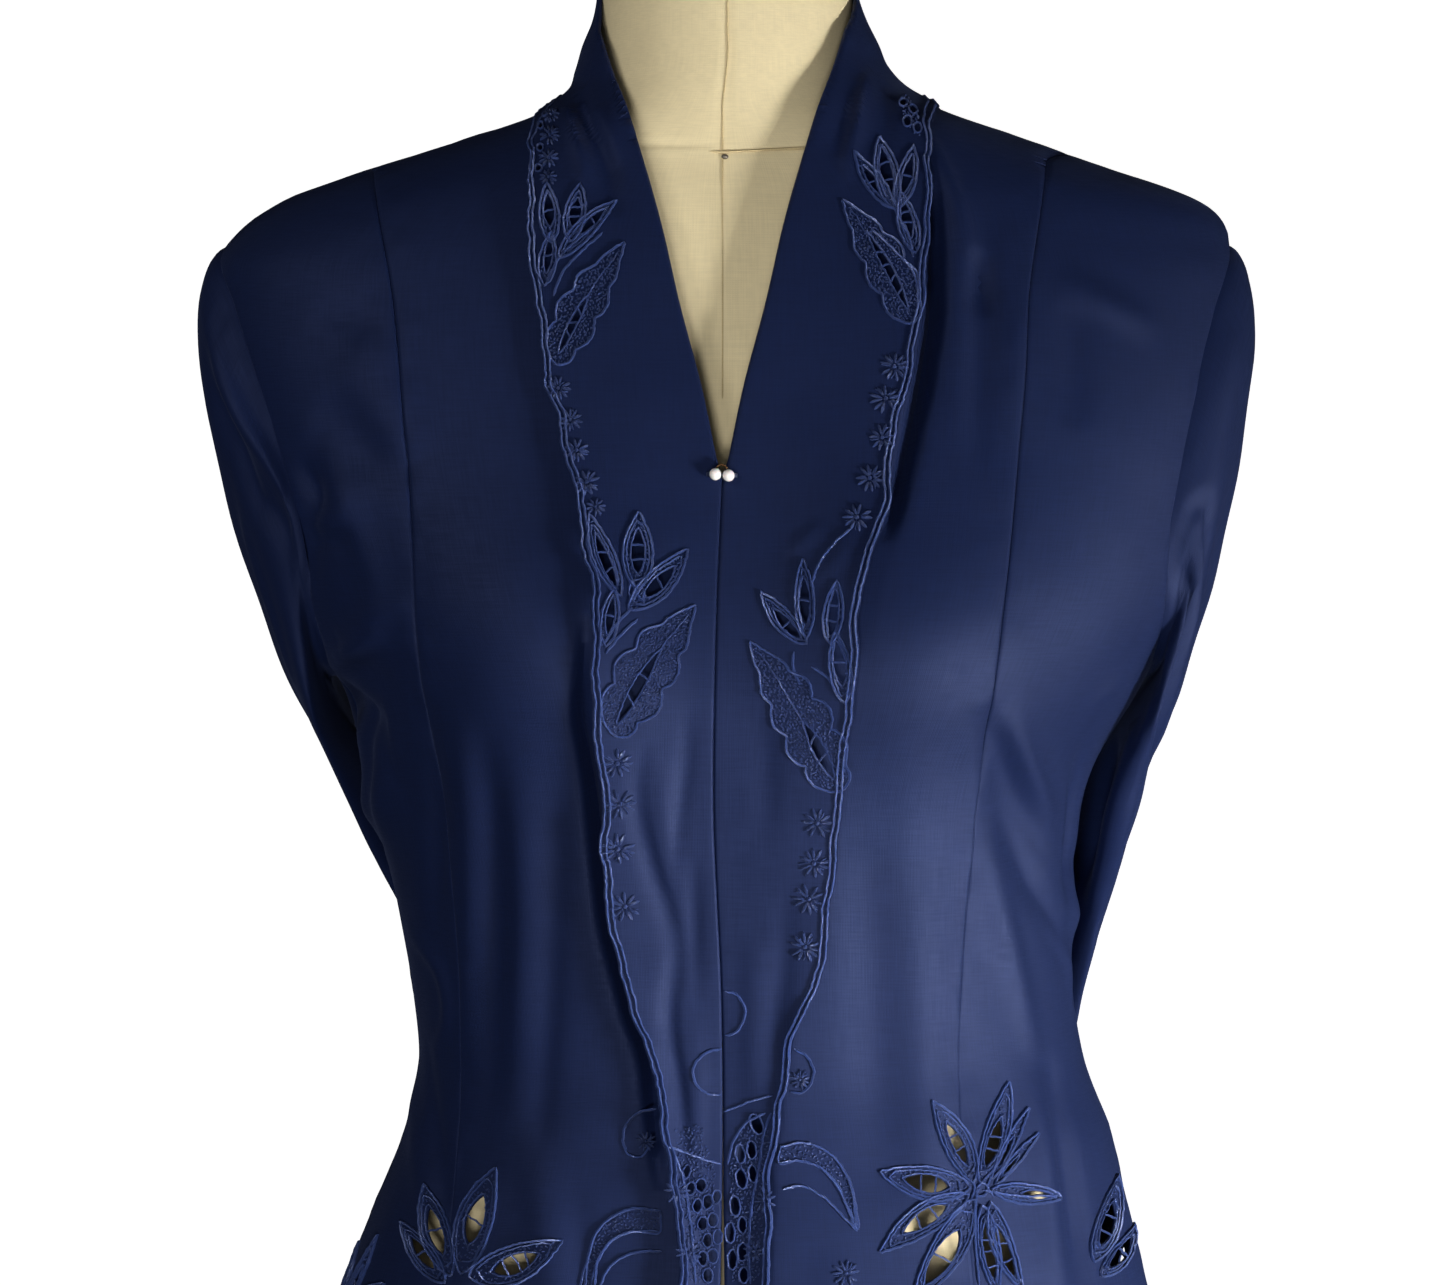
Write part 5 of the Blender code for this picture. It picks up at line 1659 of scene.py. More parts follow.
MOTIFS = {
    Ground.BODICE: Motifs(
        cord_high=0.0012,
        petals=(
            (101, 986, 83.5, 1019, 11.6, -1.2, 0.22, 0.7, 4.4, 2),
            (103, 986, 115.5, 1025.5, 10.4, -1.2, 0.17, 0.62, 5.2, 2),
            (108, 987, 123.5, 1014.5, 4.8, 0, 0.2, 0.55, 2, 0),
            (109.5, 985, 127, 1004, 4, 0, 0.2, 0.5, 1.6, 0),
            (99, 984, 63, 991.5, 13.2, 1.2, 0.24, 0.72, 6.8, 2),
            (98.5, 981.5, 62.5, 960, 12, -1.6, 0.24, 0.7, 6, 2),
            (100.5, 979.5, 75.5, 941, 13.6, 1.6, 0.3, 0.82, 8, 1),
            (104, 977, 110, 940.5, 8.8, 0, 0.22, 0.8, 4.8, 3),
            (107.5, 978, 121, 942, 8.8, -1.6, 0.26, 0.82, 4.4, 2),
            (108, 983, 137, 977.5, 8, 0, 0.45, 0.8, 3.2, 0),
            (151.5, 951, 164, 982.5, 12, -1.2, 0.2, 0.7, 6, 2),
            (154, 945, 173.5, 960.5, 9.6, -0.8, 0.22, 0.78, 5.2, 1),
            (-104.5, 949, -91, 991.5, 14.4, 1.6, 0.28, 0.72, 7.2, 1),
            (-101.5, 948, -63.5, 964, 14.4, -1.6, 0.25, 0.72, 7.2, 3),
            (-109, 948, -120, 982, 12, 1.2, 0.25, 0.75, 5.6, 1),
            (-111.5, 945, -131, 966.5, 10.4, 0, 0.25, 0.75, 4.8, 1),
        ),
        blossoms=((49, 952, 8.8, 20), (31, 1028.5, 6.6, 0), (-30.5, 1004, 6.2, 20)),
        cords=(
            (28.5, 1041, 34, 1037.5, 36.5, 1032, 35, 1026.5, 30.5, 1023, 27, 1024),
            (23, 1002, 32.5, 1003.5, 42.5, 999.5, 50, 989.5, 53.5, 968.5),
            (22, 995.5, 30, 996.5, 39, 993.5, 45.5, 987, 50, 977, 53.5, 968.5),
            (24, 985, 30.5, 986.5, 38, 983.5, 47, 975.5, 53.5, 968.5),
            (101.5, 983.5, 104, 986, 106.5, 983.5, 104.5, 980.5, 101.5, 981.5, 103, 984),
            (99, 988, 101, 984, 99.5, 979), (108.5, 989, 106.5, 984.5, 109, 980),
            (102, 984.5, 101, 971.5, 102.5, 946), (104.5, 983, 118, 980, 134, 978.5),
            (-26.5, 1017, -34, 1015, -38.5, 1010, -39.5, 1003.5, -37, 998.5, -32.5, 998, -29, 1002),
            (-25, 976.5, -34.5, 977.5, -42.5, 975, -49.5, 969, -53.5, 958.5, -55, 944.5),
            (-25, 968.5, -36, 968.5, -44, 965, -49.5, 957, -53, 944.5),
            (-24, 961, -36, 960, -44.5, 955, -49.5, 944.5),
        ),
        crescents=(
            (23, 1002, 32.5, 1003.5, 42.5, 999.5, 50, 989.5, 53.5, 969.5, 49.5, 978.5, 44.5, 987.5, 38, 994,
             30, 996.5, 22.5, 995.5),
            (-25, 976.5, -34.5, 977.5, -42.5, 975, -49.5, 969, -53.5, 958.5, -55, 944.5, -53, 944.5, -49.5,
             957, -44, 965, -36, 968.5, -25, 968.5),
        )),
    Ground.LEFT_BAND: Motifs(
        petals=(
            (69.5, 1378, 63.5, 1409.5, 9.6, 0, 0.22, 0.8, 4.4, 2),
            (69, 1378.5, 53, 1402, 7.2, 0, 0.22, 0.72, 3.2, 1),
            (70.5, 1378.5, 77.5, 1405, 8, -0.8, 0.28, 0.8, 3.6, 1),
            (77.5, 1359.5, 72, 1385.5, 8, 0, 0.3, 0.85, 4, 2),
            (34, 1202.5, 15.5, 1223, 8, 0.8, 0.15, 0.66, 3.6, 1),
            (34, 1204.5, 32.5, 1235.5, 7.6, 0, 0.2, 0.72, 4, 1),
            (43.5, 1202.5, 46, 1226, 7.6, 0, 0.08, 0.86, 3.6, 2),
            (49, 1181, 45.5, 1207, 8.4, 0, 0.28, 0.88, 4.8, 1),
        ),
        leaves=(
            (76, 1330.5, 48.5, 1382.5, 17.6, -2.4, 4, 0.14, 0.66, 3.6, 4),
            (46, 1147, 11, 1203.5, 21.6, -2.4, 5, 0.1, 0.42, 5.2, 1),
        ),
        blossoms=(
            (68.5, 1312.5, 9.6, 0), (65, 1299.5, 9.6, 30), (63.5, 1283.5, 8.8, 15), (58.5, 1267, 9.2, 50),
            (53.5, 1251, 9.6, 10), (37, 1133.5, 9.6, 20), (35.5, 1117, 9.6, 0), (33.5, 1102.5, 9.6, 40),
            (32, 1083.5, 9.6, 10), (16.5, 980, 7.2, 30), (12.5, 960.5, 7.2, 0),
        ),
        eyelets=(
            (73.5, 1424, 3.4, 2.6, 20), (77.5, 1421, 3.6, 2.8, -20), (75, 1415.5, 4, 2.8, 0),
            (79, 1412.5, 3.6, 2.6, -10), (13.5, 1011, 8, 3.6, -20), (7, 999, 6.8, 3, -8),
            (11.5, 1000.5, 6.4, 2.8, -6), (7.5, 989, 7.4, 3.4, -10), (12, 991, 6.4, 2.6, -8),
            (5, 978.5, 7, 3.2, -6), (3, 968, 7, 3, 0), (8, 971, 5.6, 2.6, -4), (4, 957.5, 7, 3, 0),
            (8, 960.5, 6.4, 2.8, 0), (8.5, 951.5, 5.6, 2.8, 0),
        ),
        cords=(
            (69.5, 1378, 74.5, 1368.5, 77, 1358), (60, 1370, 68, 1362, 77, 1351, 78.5, 1342, 77, 1331.5),
            (29, 1199.5, 28.5, 1194.5, 31.5, 1187), (36, 1194, 42, 1190.5, 47.5, 1181.5),
            (51.5, 1246.5, 41, 1236.5, 35.5, 1224.5),
            (1, 1065, 6, 1063, 9, 1057.5, 8, 1052, 5, 1048, 1, 1047), (0.5, 1016, 9, 1019.5, 19.5, 1022.5),
            (19, 1015.5, 16.5, 1008, 15, 996.5, 12, 981, 10.5, 961.5, 11, 948),
            (17, 1015.5, 10, 1012, 4.5, 1004.5, 2, 995),
        )),
    Ground.RIGHT_BAND: Motifs(
        petals=(
            (-69, 1364, -71, 1389, 8, 0, 0.3, 0.78, 4, 1),
            (-61.5, 1364.5, -57.5, 1389, 8.4, 0, 0.28, 0.72, 4.4, 2),
            (-66, 1357.5, -43, 1382.5, 7.6, 0.8, 0.42, 0.78, 3.2, 1),
            (-71.5, 1346, -69, 1368.5, 6.8, 0, 0.3, 0.85, 2.8, 1),
            (-41, 1220.5, -53, 1252.5, 8.8, 0.8, 0.15, 0.72, 3.6, 2),
            (-34.5, 1223.5, -33.5, 1254, 12, 0, 0.22, 0.75, 5.2, 2),
            (-38, 1215.5, -14, 1239.5, 10.8, -1.2, 0.25, 0.72, 4.8, 1),
            (-47, 1201.5, -43.5, 1223.5, 6.8, 0, 0.25, 0.8, 3.2, 1),
        ),
        leaves=(
            (-67, 1314, -39.5, 1364.5, 16.8, 2, 4, 0.12, 0.5, 3.2, 3),
            (-44, 1169.5, -11, 1217.5, 22.4, 2, 4, 0.1, 0.58, 4.8, 2),
        ),
        blossoms=(
            (-69.5, 1418.5, 6.5, 20), (-70, 1409.6, 7, 50), (-70.5, 1399.8, 7, 10), (-70.5, 1391.5, 6, 35),
            (-65.5, 1304, 8, 10), (-60.5, 1291, 8, 40), (-58, 1278.5, 8, 5), (-54, 1265.5, 8.4, 30),
            (-50.5, 1255.5, 6.4, 0), (-41.5, 1158, 9.6, 15), (-40, 1141.5, 9.6, 50), (-40.5, 1123, 10.4, 0),
            (-37.5, 1099.5, 10, 30), (-17.5, 983.5, 8, 20), (-13, 960, 8, 45),
        ),
        eyelets=(
            (-74, 1414, 2.4, 1.8, 0), (-74, 1404.5, 2.4, 1.8, 10), (-74.5, 1395.5, 2.4, 1.8, 0),
            (-14, 992, 4.4, 2.4, 15), (-12.5, 985, 4.8, 2.8, 15), (-8.5, 986.5, 4.8, 3.2, 10),
            (-10, 978.5, 4.8, 2.8, 10), (-6, 980, 5.2, 3.2, 12), (-2.5, 982, 4.4, 2.4, 10),
            (-8, 971.5, 4.8, 3.2, 5), (-4, 973, 4.8, 3.2, 8), (-6, 965, 4.8, 3.2, 0),
            (-2, 966.5, 4.8, 2.8, 0), (-8, 958, 4.8, 3.2, 0), (-4, 959, 4.8, 3.2, 0),
            (-6, 951.5, 4.8, 3.2, 0),
        ),
        cords=(
            (-34.5, 1212, -41, 1206, -47, 1199),
            (-38, 1222, -36.5, 1226.5, -35, 1222, -36.5, 1219, -38, 1222),
            (-48.5, 1368.5, -56, 1361.5, -63.5, 1353, -68, 1342),
            (-50.5, 1372.5, -58, 1365.5, -66, 1357.5, -71, 1346), (-36, 1216.5, -42.5, 1210, -48.5, 1201.5),
            (-32.5, 1224.5, -31.5, 1221.5, -32.5, 1219, -34.5, 1221.5, -32.5, 1224.5),
            (-0.5, 1041.5, -7.5, 1039.5, -11.5, 1033.5, -10.5, 1027.5, -6, 1023.5, -0.5, 1023),
            (-22, 1002, -15.5, 1000, -7.5, 997, -0.5, 995),
            (-18.5, 998.5, -15.5, 989, -13, 975, -10.5, 948),
        )),
}
# Petals of the hem's flower, from its middle, used where the picture doesn't show the hem
HEM_PETALS = (
    (-2, 4, -19, 36, 12, -1.2, 0.22, 0.72, 5, 2), (0, 4, 11, 41, 11, -1.2, 0.18, 0.66, 5.2, 2),
    (-5, 1, -41, 8, 13, 1.2, 0.24, 0.72, 6.4, 2), (-5, -2, -40, -21, 12, -1.6, 0.24, 0.72, 6, 2),
    (-3, -5, -27, -40, 13, 1.6, 0.28, 0.8, 7.2, 2), (1, -6, 7, -42, 9, 0, 0.22, 0.8, 4.6, 3),
    (4, -5, 20, -38, 9, -1.6, 0.26, 0.82, 4.4, 2), (5, 1, 34, -5, 9, 0, 0.3, 0.78, 3.6, 1),
    (4, 4, 31, 24, 9, 1, 0.25, 0.72, 4, 1),
)
# Seed-stitched areas at the lapels' hem ends, drawn for the left one, and at the collar's left corner
HEM_END = ((19, 1009), (15, 948), (2.2, 948), (2.2, 994), (8, 1012))
COLLAR_CORNER = ((71.5, 1428), (75.5, 1429), (79.5, 1424), (81, 1414), (80.5, 1407), (76, 1410.5),
                 (72.5, 1419))

BAND_GROUNDS = {Side.LEFT: Ground.LEFT_BAND, Side.RIGHT: Ground.RIGHT_BAND}


def ellipse(x: float, z: float, long: float, wide: float, lean: float, count: int) -> Line:
    """Give the points of an upright ellipse that leans to the right by an angle in degrees."""
    turn = np.linspace(0, 2 * np.pi, count, endpoint=False)
    up, across = np.cos(turn) * long / 2, np.sin(turn) * wide / 2
    lean = np.radians(lean)
    return np.stack((x + across * np.cos(lean) + up * np.sin(lean),
                     z - across * np.sin(lean) + up * np.cos(lean)), axis=-1)


@dataclass(frozen=True)
class Spine:
    """Curved middle line of a petal or a leaf, from base to tip."""

    base: Array
    tip: Array
    bend: float

    def at(self, share: Array, off: Array) -> Line:
        """Give places at shares along the line and distances to its left."""
        along = self.tip - self.base
        across = np.array((-along[1], along[0])) / np.linalg.norm(along)
        middle = self.base + share[:, None] * along + (4 * self.bend * share * (1 - share))[:, None] * across
        return middle + off[:, None] * across

    def loop(self, share: Array, off: Array) -> Line:
        """Give the loop at distances to both sides of the line."""
        return np.concatenate((self.at(share, off), self.at(share[-2:0:-1], -off[-2:0:-1])))

    @property
    def way(self) -> Array:
        """Give the line's direction."""
        return (self.tip - self.base) / float(np.linalg.norm(self.tip - self.base))


def leaf_width(share: Array, early: float, late: float) -> Array:
    """Give a pointed leaf's width along it, 1 where it is widest."""
    peak = early / (early + late)
    return share ** early * (1 - share) ** late / (peak ** early * (1 - peak) ** late)


@dataclass
class Needlework:
    """Cords, stitches and cut holes planned on one kind of cloth, in the flat."""

    seed: int
    cords: list[tuple[Line, float, float, bool]] = field(default_factory=list)
    stitches: list[tuple[Line, float, float, float]] = field(default_factory=list)
    holes: list[Line] = field(default_factory=list)
    rims: list[Line] = field(default_factory=list)
    cord_wide: float = 0.0012
    cord_high: float = 0.0012
    fine_wide: float = 0.0008
    fine_high: float = 0.0009
    bar_wide: float = 0.0009
    stitch_gap: float = 0.0014
    stitch_long: float = 0.0015
    stitch_wide: float = 0.00075
    unevenness: float = 0.00012
    blossom_scale: float = 1.25
    petal_high: float = 0.0014
    ray_wide: float = 0.0006
    ray_high: float = 0.0010
    # Millimetres kept free of seed stitches beside a line
    margin: float = 0.7
    # Width in millimetres above which a petal has an inner cord
    broad_petal: float = 7.5

    def __post_init__(self) -> None:
        """Start the seeded draw."""
        self.draw = np.random.default_rng(self.seed)
        self.to_cloth = lambda rows: to_flat(at_front(rows))

    def cord(self, points: Line, wide: float = 0.0, high: float = 0.0, closed: bool = False,
             gap: float = 1.5) -> None:
        """Plan a corded line through places in millimetres.

        Args:
            points: places it goes through.
            wide: its width in metres, or 0 for the usual one.
            high: its height in metres, or 0 for the usual one.
            closed: whether it is a ring.
            gap: spacing of its points in millimetres.
        """
        points = np.asarray(points, float)
        loop = np.concatenate((points, points[:1])) if closed else points
        long = np.linalg.norm(np.diff(loop, axis=0), axis=1).sum()
        line = smooth_line(points, max(5, round(long / gap)), closed)
        self.cords.append((self.to_cloth(line), wide or self.cord_wide, high or self.cord_high, closed))

    def fine_ring(self, points: Line, gap: float) -> None:
        """Plan a thin corded ring."""
        self.cord(points, self.fine_wide, self.fine_high, True, gap)

    def stitch(self, place: Array, along: Array, long: float, wide: float, high: float) -> None:
        """Plan one raised satin stitch or dot at a place in millimetres."""
        self.stitches.append((self.to_cloth(np.array((place, place + along))), long, wide, high))

    def fill(self, outline: Line, holes: list[Line], along: Array, gap: float = 0.0) -> None:
        """Fill an area with seed stitches.

        Args:
            outline: the loop round it in millimetres.
            holes: loops inside it to keep free.
            along: the main way of the stitches.
            gap: spacing in metres, or 0 for the usual one.
        """
        gap = (gap or self.stitch_gap) / MM
        low, high = outline.min(axis=0), outline.max(axis=0)
        x, z = np.meshgrid(np.arange(low[0], high[0], gap), np.arange(low[1], high[1], gap * 0.87))
        x[1::2] += gap / 2
        spots = np.stack((x.ravel(), z.ravel()), axis=-1)
        spots += self.draw.uniform(-0.36, 0.36, spots.shape) * gap
        keep = inside_loop(outline, spots) & (far_from(outline, spots) > self.margin)
        for hole in holes:
            keep &= ~inside_loop(hole, spots) & (far_from(hole, spots) > self.margin)
        for spot in spots[keep]:
            lean = self.draw.normal(0, 0.8)
            way = np.array((along[0] * np.cos(lean) - along[1] * np.sin(lean),
                            along[0] * np.sin(lean) + along[1] * np.cos(lean)))
            long = self.stitch_long * self.draw.uniform(0.8, 1.25)
            self.stitch(spot, way, long, self.stitch_wide, self.draw.uniform(0.00035, 0.0009))

    def slit(self, spine: Spine, start: float, end: float, hole: float, bars: float, narrow: float = 1.0,
             rim: float = 0.8) -> Line:
        """Cut a pointed hole along a spine, sew its rim and lay thin bars across it.

        Args:
            spine: the middle line of the petal or leaf.
            start: share of the line where the hole starts.
            end: share of the line where it ends.
            hole: its width in millimetres.
            bars: number of bars.
            narrow: share of the width that is cut.
            rim: how far the rim stands off, in millimetres.

        Returns:
            The hole's loop.
        """
        half = np.linspace(0, 1, 13)
        off = hole * narrow / 2 * np.sin(np.pi * half ** 0.92) ** 0.75
        off[0] = off[-1] = 0.0
        opening = spine.loop(start + (end - start) * half, off)
        self.holes.append(self.to_cloth(smooth_line(opening, 26, closed=True)))
        middle = opening.mean(axis=0)
        self.fine_ring(middle + (opening - middle) * (1 + rim / max(hole, 2.0)), 1.0)
        for i in range(int(bars)):
            share = start + (end - start) * (i + 1) / (int(bars) + 1) + self.draw.uniform(-0.02, 0.02)
            lean = self.draw.uniform(-0.03, 0.03)
            shares, offs = np.array((share - lean, share, share + lean)), np.array((-0.62, 0.0, 0.62))
            self.cord(spine.at(shares, offs * hole), self.bar_wide, self.bar_wide, gap=0.9)
        return opening

    def petals(self, rows: tuple, dense: float = 1.0) -> None:
        """Work pointed petals."""
        for base_x, base_z, tip_x, tip_z, wide, bend, start, end, hole, bars in np.array(rows, float):
            spine = Spine(np.array((base_x, base_z)), np.array((tip_x, tip_z)), bend)
            share = np.linspace(0, 1, 21)
            loop = spine.loop(share, wide / 2 * leaf_width(share, 0.75, 0.95))
            self.cord(loop, closed=True)
            if wide > self.broad_petal:
                part = np.linspace(0.10, 0.88, 15)
                near = np.maximum(wide / 2 * leaf_width(part, 0.75, 0.95) - 1.35, 0.15)
                self.fine_ring(spine.loop(part, near), 1.6)
            opening = self.slit(spine, start, end, hole, bars)
            self.fill(loop, [opening], spine.way, self.stitch_gap * 1.1 / dense)

    def leaves(self, rows: tuple) -> None:
        """Work wavy leaves."""
        for base_x, base_z, tip_x, tip_z, wide, bend, waves, start, end, hole, bars in np.array(rows, float):
            spine = Spine(np.array((base_x, base_z)), np.array((tip_x, tip_z)), bend)
            share = np.linspace(0, 1, 61)
            sides = []
            for sign, phase in ((1, 0.0), (-1, 0.45)):
                lobes = np.abs(np.sin(np.pi * (waves * share * (0.9 + 0.1 * share) + phase))) ** 0.8
                lobes = 0.76 + 0.34 * lobes * np.clip((1 - share) * 3, 0, 1)
                sides.append(spine.at(share, sign * wide / 2 * leaf_width(share, 0.50, 0.85) * lobes))
            loop = np.concatenate((sides[0], sides[1][-2:0:-1]))
            self.cord(loop, closed=True, gap=1.3)
            opening = self.slit(spine, start, end, hole, max(bars, 2), 0.85, 0.9)
            vein = spine.at(np.linspace(end + 0.02, 0.93, 7), np.sin(np.linspace(0, 6, 7)) * 0.4)
            self.cord(vein, self.fine_wide * 0.8, self.fine_high * 0.8)
            self.fill(loop, [opening], spine.way)

    def blossoms(self, rows: tuple) -> None:
        """Work small blossoms: thin rays of thread, puffed petals between them and a knot."""
        for x, z, size, turn in np.array(rows, float):
            middle = np.array((x, z))
            size = size * self.blossom_scale
            count = 5 if size > 5 else 4
            for i in range(2 * count):
                angle = np.radians(turn + 180 / count * i + self.draw.uniform(-10, 10))
                way = np.array((np.cos(angle), np.sin(angle)))
                side = np.array((-way[1], way[0]))
                if i % 2:
                    if self.draw.uniform() > 0.6:
                        continue
                    far = self.draw.uniform(0.34, 0.50) * size
                    bend = side * self.draw.uniform(-0.08, 0.08) * size
                    ray = np.array((middle + way * 0.10 * size, middle + way * 0.5 * far + bend,
                                    middle + way * far))
                    self.cord(ray, self.ray_wide, self.ray_high, gap=0.8)
                    continue
                far = self.draw.uniform(0.26, 0.32) * size
                long = self.draw.uniform(0.40, 0.50) * size
                for off in (-0.075, 0.075):
                    self.stitch(middle + way * far + side * off * size, way + side * off * 4,
                                long * MM, 0.12 * size * MM, self.petal_high)
            knot = 0.16 * size * MM
            self.stitch(middle, np.array((1.0, 0.0)), knot, knot, self.petal_high * 1.3)

    def eyelets(self, rows: tuple) -> None:
        """Work eyelets with sewn rims."""
        for x, z, long, wide, lean in np.array(rows, float):
            count = 18 if long > 5 else 14
            loop = ellipse(x, z, long, wide, lean, count)
            self.rims.append(loop)
            self.holes.append(self.to_cloth(loop))
            self.fine_ring(ellipse(x, z, long + 0.9, wide + 0.9, lean, count), 0.9)

    def embroider(self, motifs: Motifs) -> None:
        """Work all motifs of one cloth; a crescent is a corded outline filled with seed stitches."""
        self.petals(motifs.petals)
        self.leaves(motifs.leaves)
        self.blossoms(motifs.blossoms)
        self.eyelets(motifs.eyelets)
        for row in motifs.cords:
            self.cord(np.reshape(row, (-1, 2)), high=motifs.cord_high)
        for row in motifs.crescents:
            points = np.reshape(row, (-1, 2))
            self.cord(points, closed=True)
            outline = smooth_line(points, 60, closed=True)
            self.fill(outline, [], unit(outline[10] - outline[0]))

    def raise_on(self, surface: Callable, name: str, material: Material) -> Piece:
        """Raise everything planned on its cloth.

        Args:
            surface: gives points and normals of the cloth at places in the flat.
            name: the piece's name.
            material: its thread.

        Returns:
            The embroidery as one piece.
        """
        lines = [cord[0] for cord in self.cords] + [stitch[0] for stitch in self.stitches]
        sizes = np.cumsum([0] + [len(line) for line in lines])
        points, normals = surface(np.concatenate(lines))
        soup = Soup()
        for i, (line, wide, high, closed) in enumerate(self.cords):
            part = slice(sizes[i], sizes[i + 1])
            stray = self.draw.normal(0, self.unevenness, (len(line), 3))
            tube(soup, points[part] + stray, normals[part], wide, high, closed)
        for i, (line, long, wide, high) in enumerate(self.stitches, len(self.cords)):
            here, there = points[sizes[i]], points[sizes[i] + 1]
            dome(soup, here, normals[sizes[i]], there - here, long, wide, high, 8 if long > 0.0016 else 6)
        return soup.build(name, material)


@dataclass
class Embroidery:
    """All the cutwork: on the lapels, on the fronts and round the hem."""

    cloth: Cloth
    bands: dict[Side, LapelBand]
    dyes: Dyes
    hem_flowers: tuple[float, ...] = (-72.0, 112.0, 146.0, 180.0, 214.0, 248.0)
    hem_height: float = 0.918
    blossom_gap: float = 0.024
    blossom_rise: float = 0.011
    hem_cords: tuple[float, float] = (0.0012, 0.0036)
    edge_cords: tuple[float, float] = (0.0008, 0.0028)
    collar_corner: float = 1.85

    def plan(self) -> dict[Ground, Needlework]:
        """Plan the work on every cloth before it is cut."""
        work = {Ground.BODICE: Needlework(101, stitch_gap=0.0017), Ground.LEFT_BAND: Needlework(102),
                Ground.RIGHT_BAND: Needlework(103)}
        for ground, needle in work.items():
            needle.embroider(MOTIFS[ground])
        for side, ground in BAND_GROUNDS.items():
            needle = work[ground]
            low = [rim for rim in needle.rims if rim[:, 1].mean() < 1020]
            needle.fill(np.array(HEM_END) * (side.value, 1), low, np.array((0.2, 1.0)), 0.0016)
            if side is Side.LEFT:
                top = [rim for rim in needle.rims if rim[:, 1].mean() > 1400]
                needle.fill(np.array(COLLAR_CORNER), top, np.array((0.3, 1.0)), 0.0012)
            self.plan_border(self.bands[side], needle)
        self.plan_hem(work[Ground.BODICE])
        return work

    def plan_border(self, band: LapelBand, needle: Needlework) -> None:
        """Plan the double cord along a band's free edge."""
        corner = int(np.searchsorted(band.chart.rows, self.collar_corner))
        for far in self.edge_cords:
            line = band.along_edge(far)
            needle.cords.append((line[:corner + 1], 0.0012, 0.0013, False))
            needle.cords.append((line[corner:], 0.0010, 0.0007, False))

    def plan_hem(self, needle: Needlework) -> None:
        """Plan the hem where the picture doesn't show it: flowers, a row of blossoms and a double cord."""
        for turn in self.hem_flowers:
            needle.to_cloth = self.chart_at(turn, self.hem_height)
            needle.petals(HEM_PETALS, 0.8)
        for turn, z in self.hem_places(self.blossom_rise, self.blossom_gap):
            needle.to_cloth = self.chart_at(turn, z)
            needle.blossoms(((0.0, 0.0, 6.5, turn * 7 % 72),))
        for rise in self.hem_cords:
            needle.cords.append((to_flat(self.hem_places(rise, 0.0022)), 0.0013, 0.0009, True))

    def chart_at(self, turn: float, z: float) -> Callable:
        """Give the chart from millimetres round one place of the body to the flat."""
        here, there = (SHAPE.point(np.array(at), np.array(z)) for at in (turn, turn + 0.5))
        for_one = np.linalg.norm(there - here) / 0.5

        def to_cloth(rows: Array) -> Array:
            """Turn millimetres from the place into the flat."""
            rows = np.asarray(rows, float) * MM
            return np.stack(((turn + rows[..., 0] / for_one) * FLAT, z + rows[..., 1]), axis=-1)

        return to_cloth

    def hem_line(self) -> Line:
        """Give the hem from the left front edge round the back to the right front edge."""
        low = SHAPE.hem_front
        start, end = ((np.interp(low, line[:, 1], line[:, 0]), low) for line in map(SHAPE.centre_line, Side))
        seams = [SHAPE.princess(side)[0] for side in Side]
        back = [(turn, SHAPE.hem_back) for turn in (90.0, 180.0, 270.0)]
        return np.array((start, seams[0], *back, seams[1] + (360, 0), (end[0] + 360, low)))

    def hem_places(self, rise: float, gap: float) -> Line:
        """Space places of turn and height along the hem, a distance above it."""
        line = self.hem_line()
        turns = np.linspace(line[0, 0] + 3.0, line[-1, 0] - 3.0, 720)
        places = np.stack((turns, np.interp(turns, line[:, 0], line[:, 1]) + rise), axis=-1)
        run = run_along(SHAPE.point(*places.T))
        at = np.linspace(0, run[-1], max(2, round(run[-1] / gap)))
        return np.stack((np.interp(at, run, places[:, 0]), np.interp(at, run, places[:, 1])), axis=-1)

    def work(self, plans: dict[Ground, Needlework]) -> dict[Ground, Piece]:
        """Raise the planned work on each cloth."""
        thread = self.dyes["thread"]
        cloths = {ground: self.bands[side] for side, ground in BAND_GROUNDS.items()}
        cloths[Ground.BODICE] = self.cloth
        return {ground: plan.raise_on(cloths[ground].surface, "embroidery_" + ground.value, thread)
                for ground, plan in plans.items()}


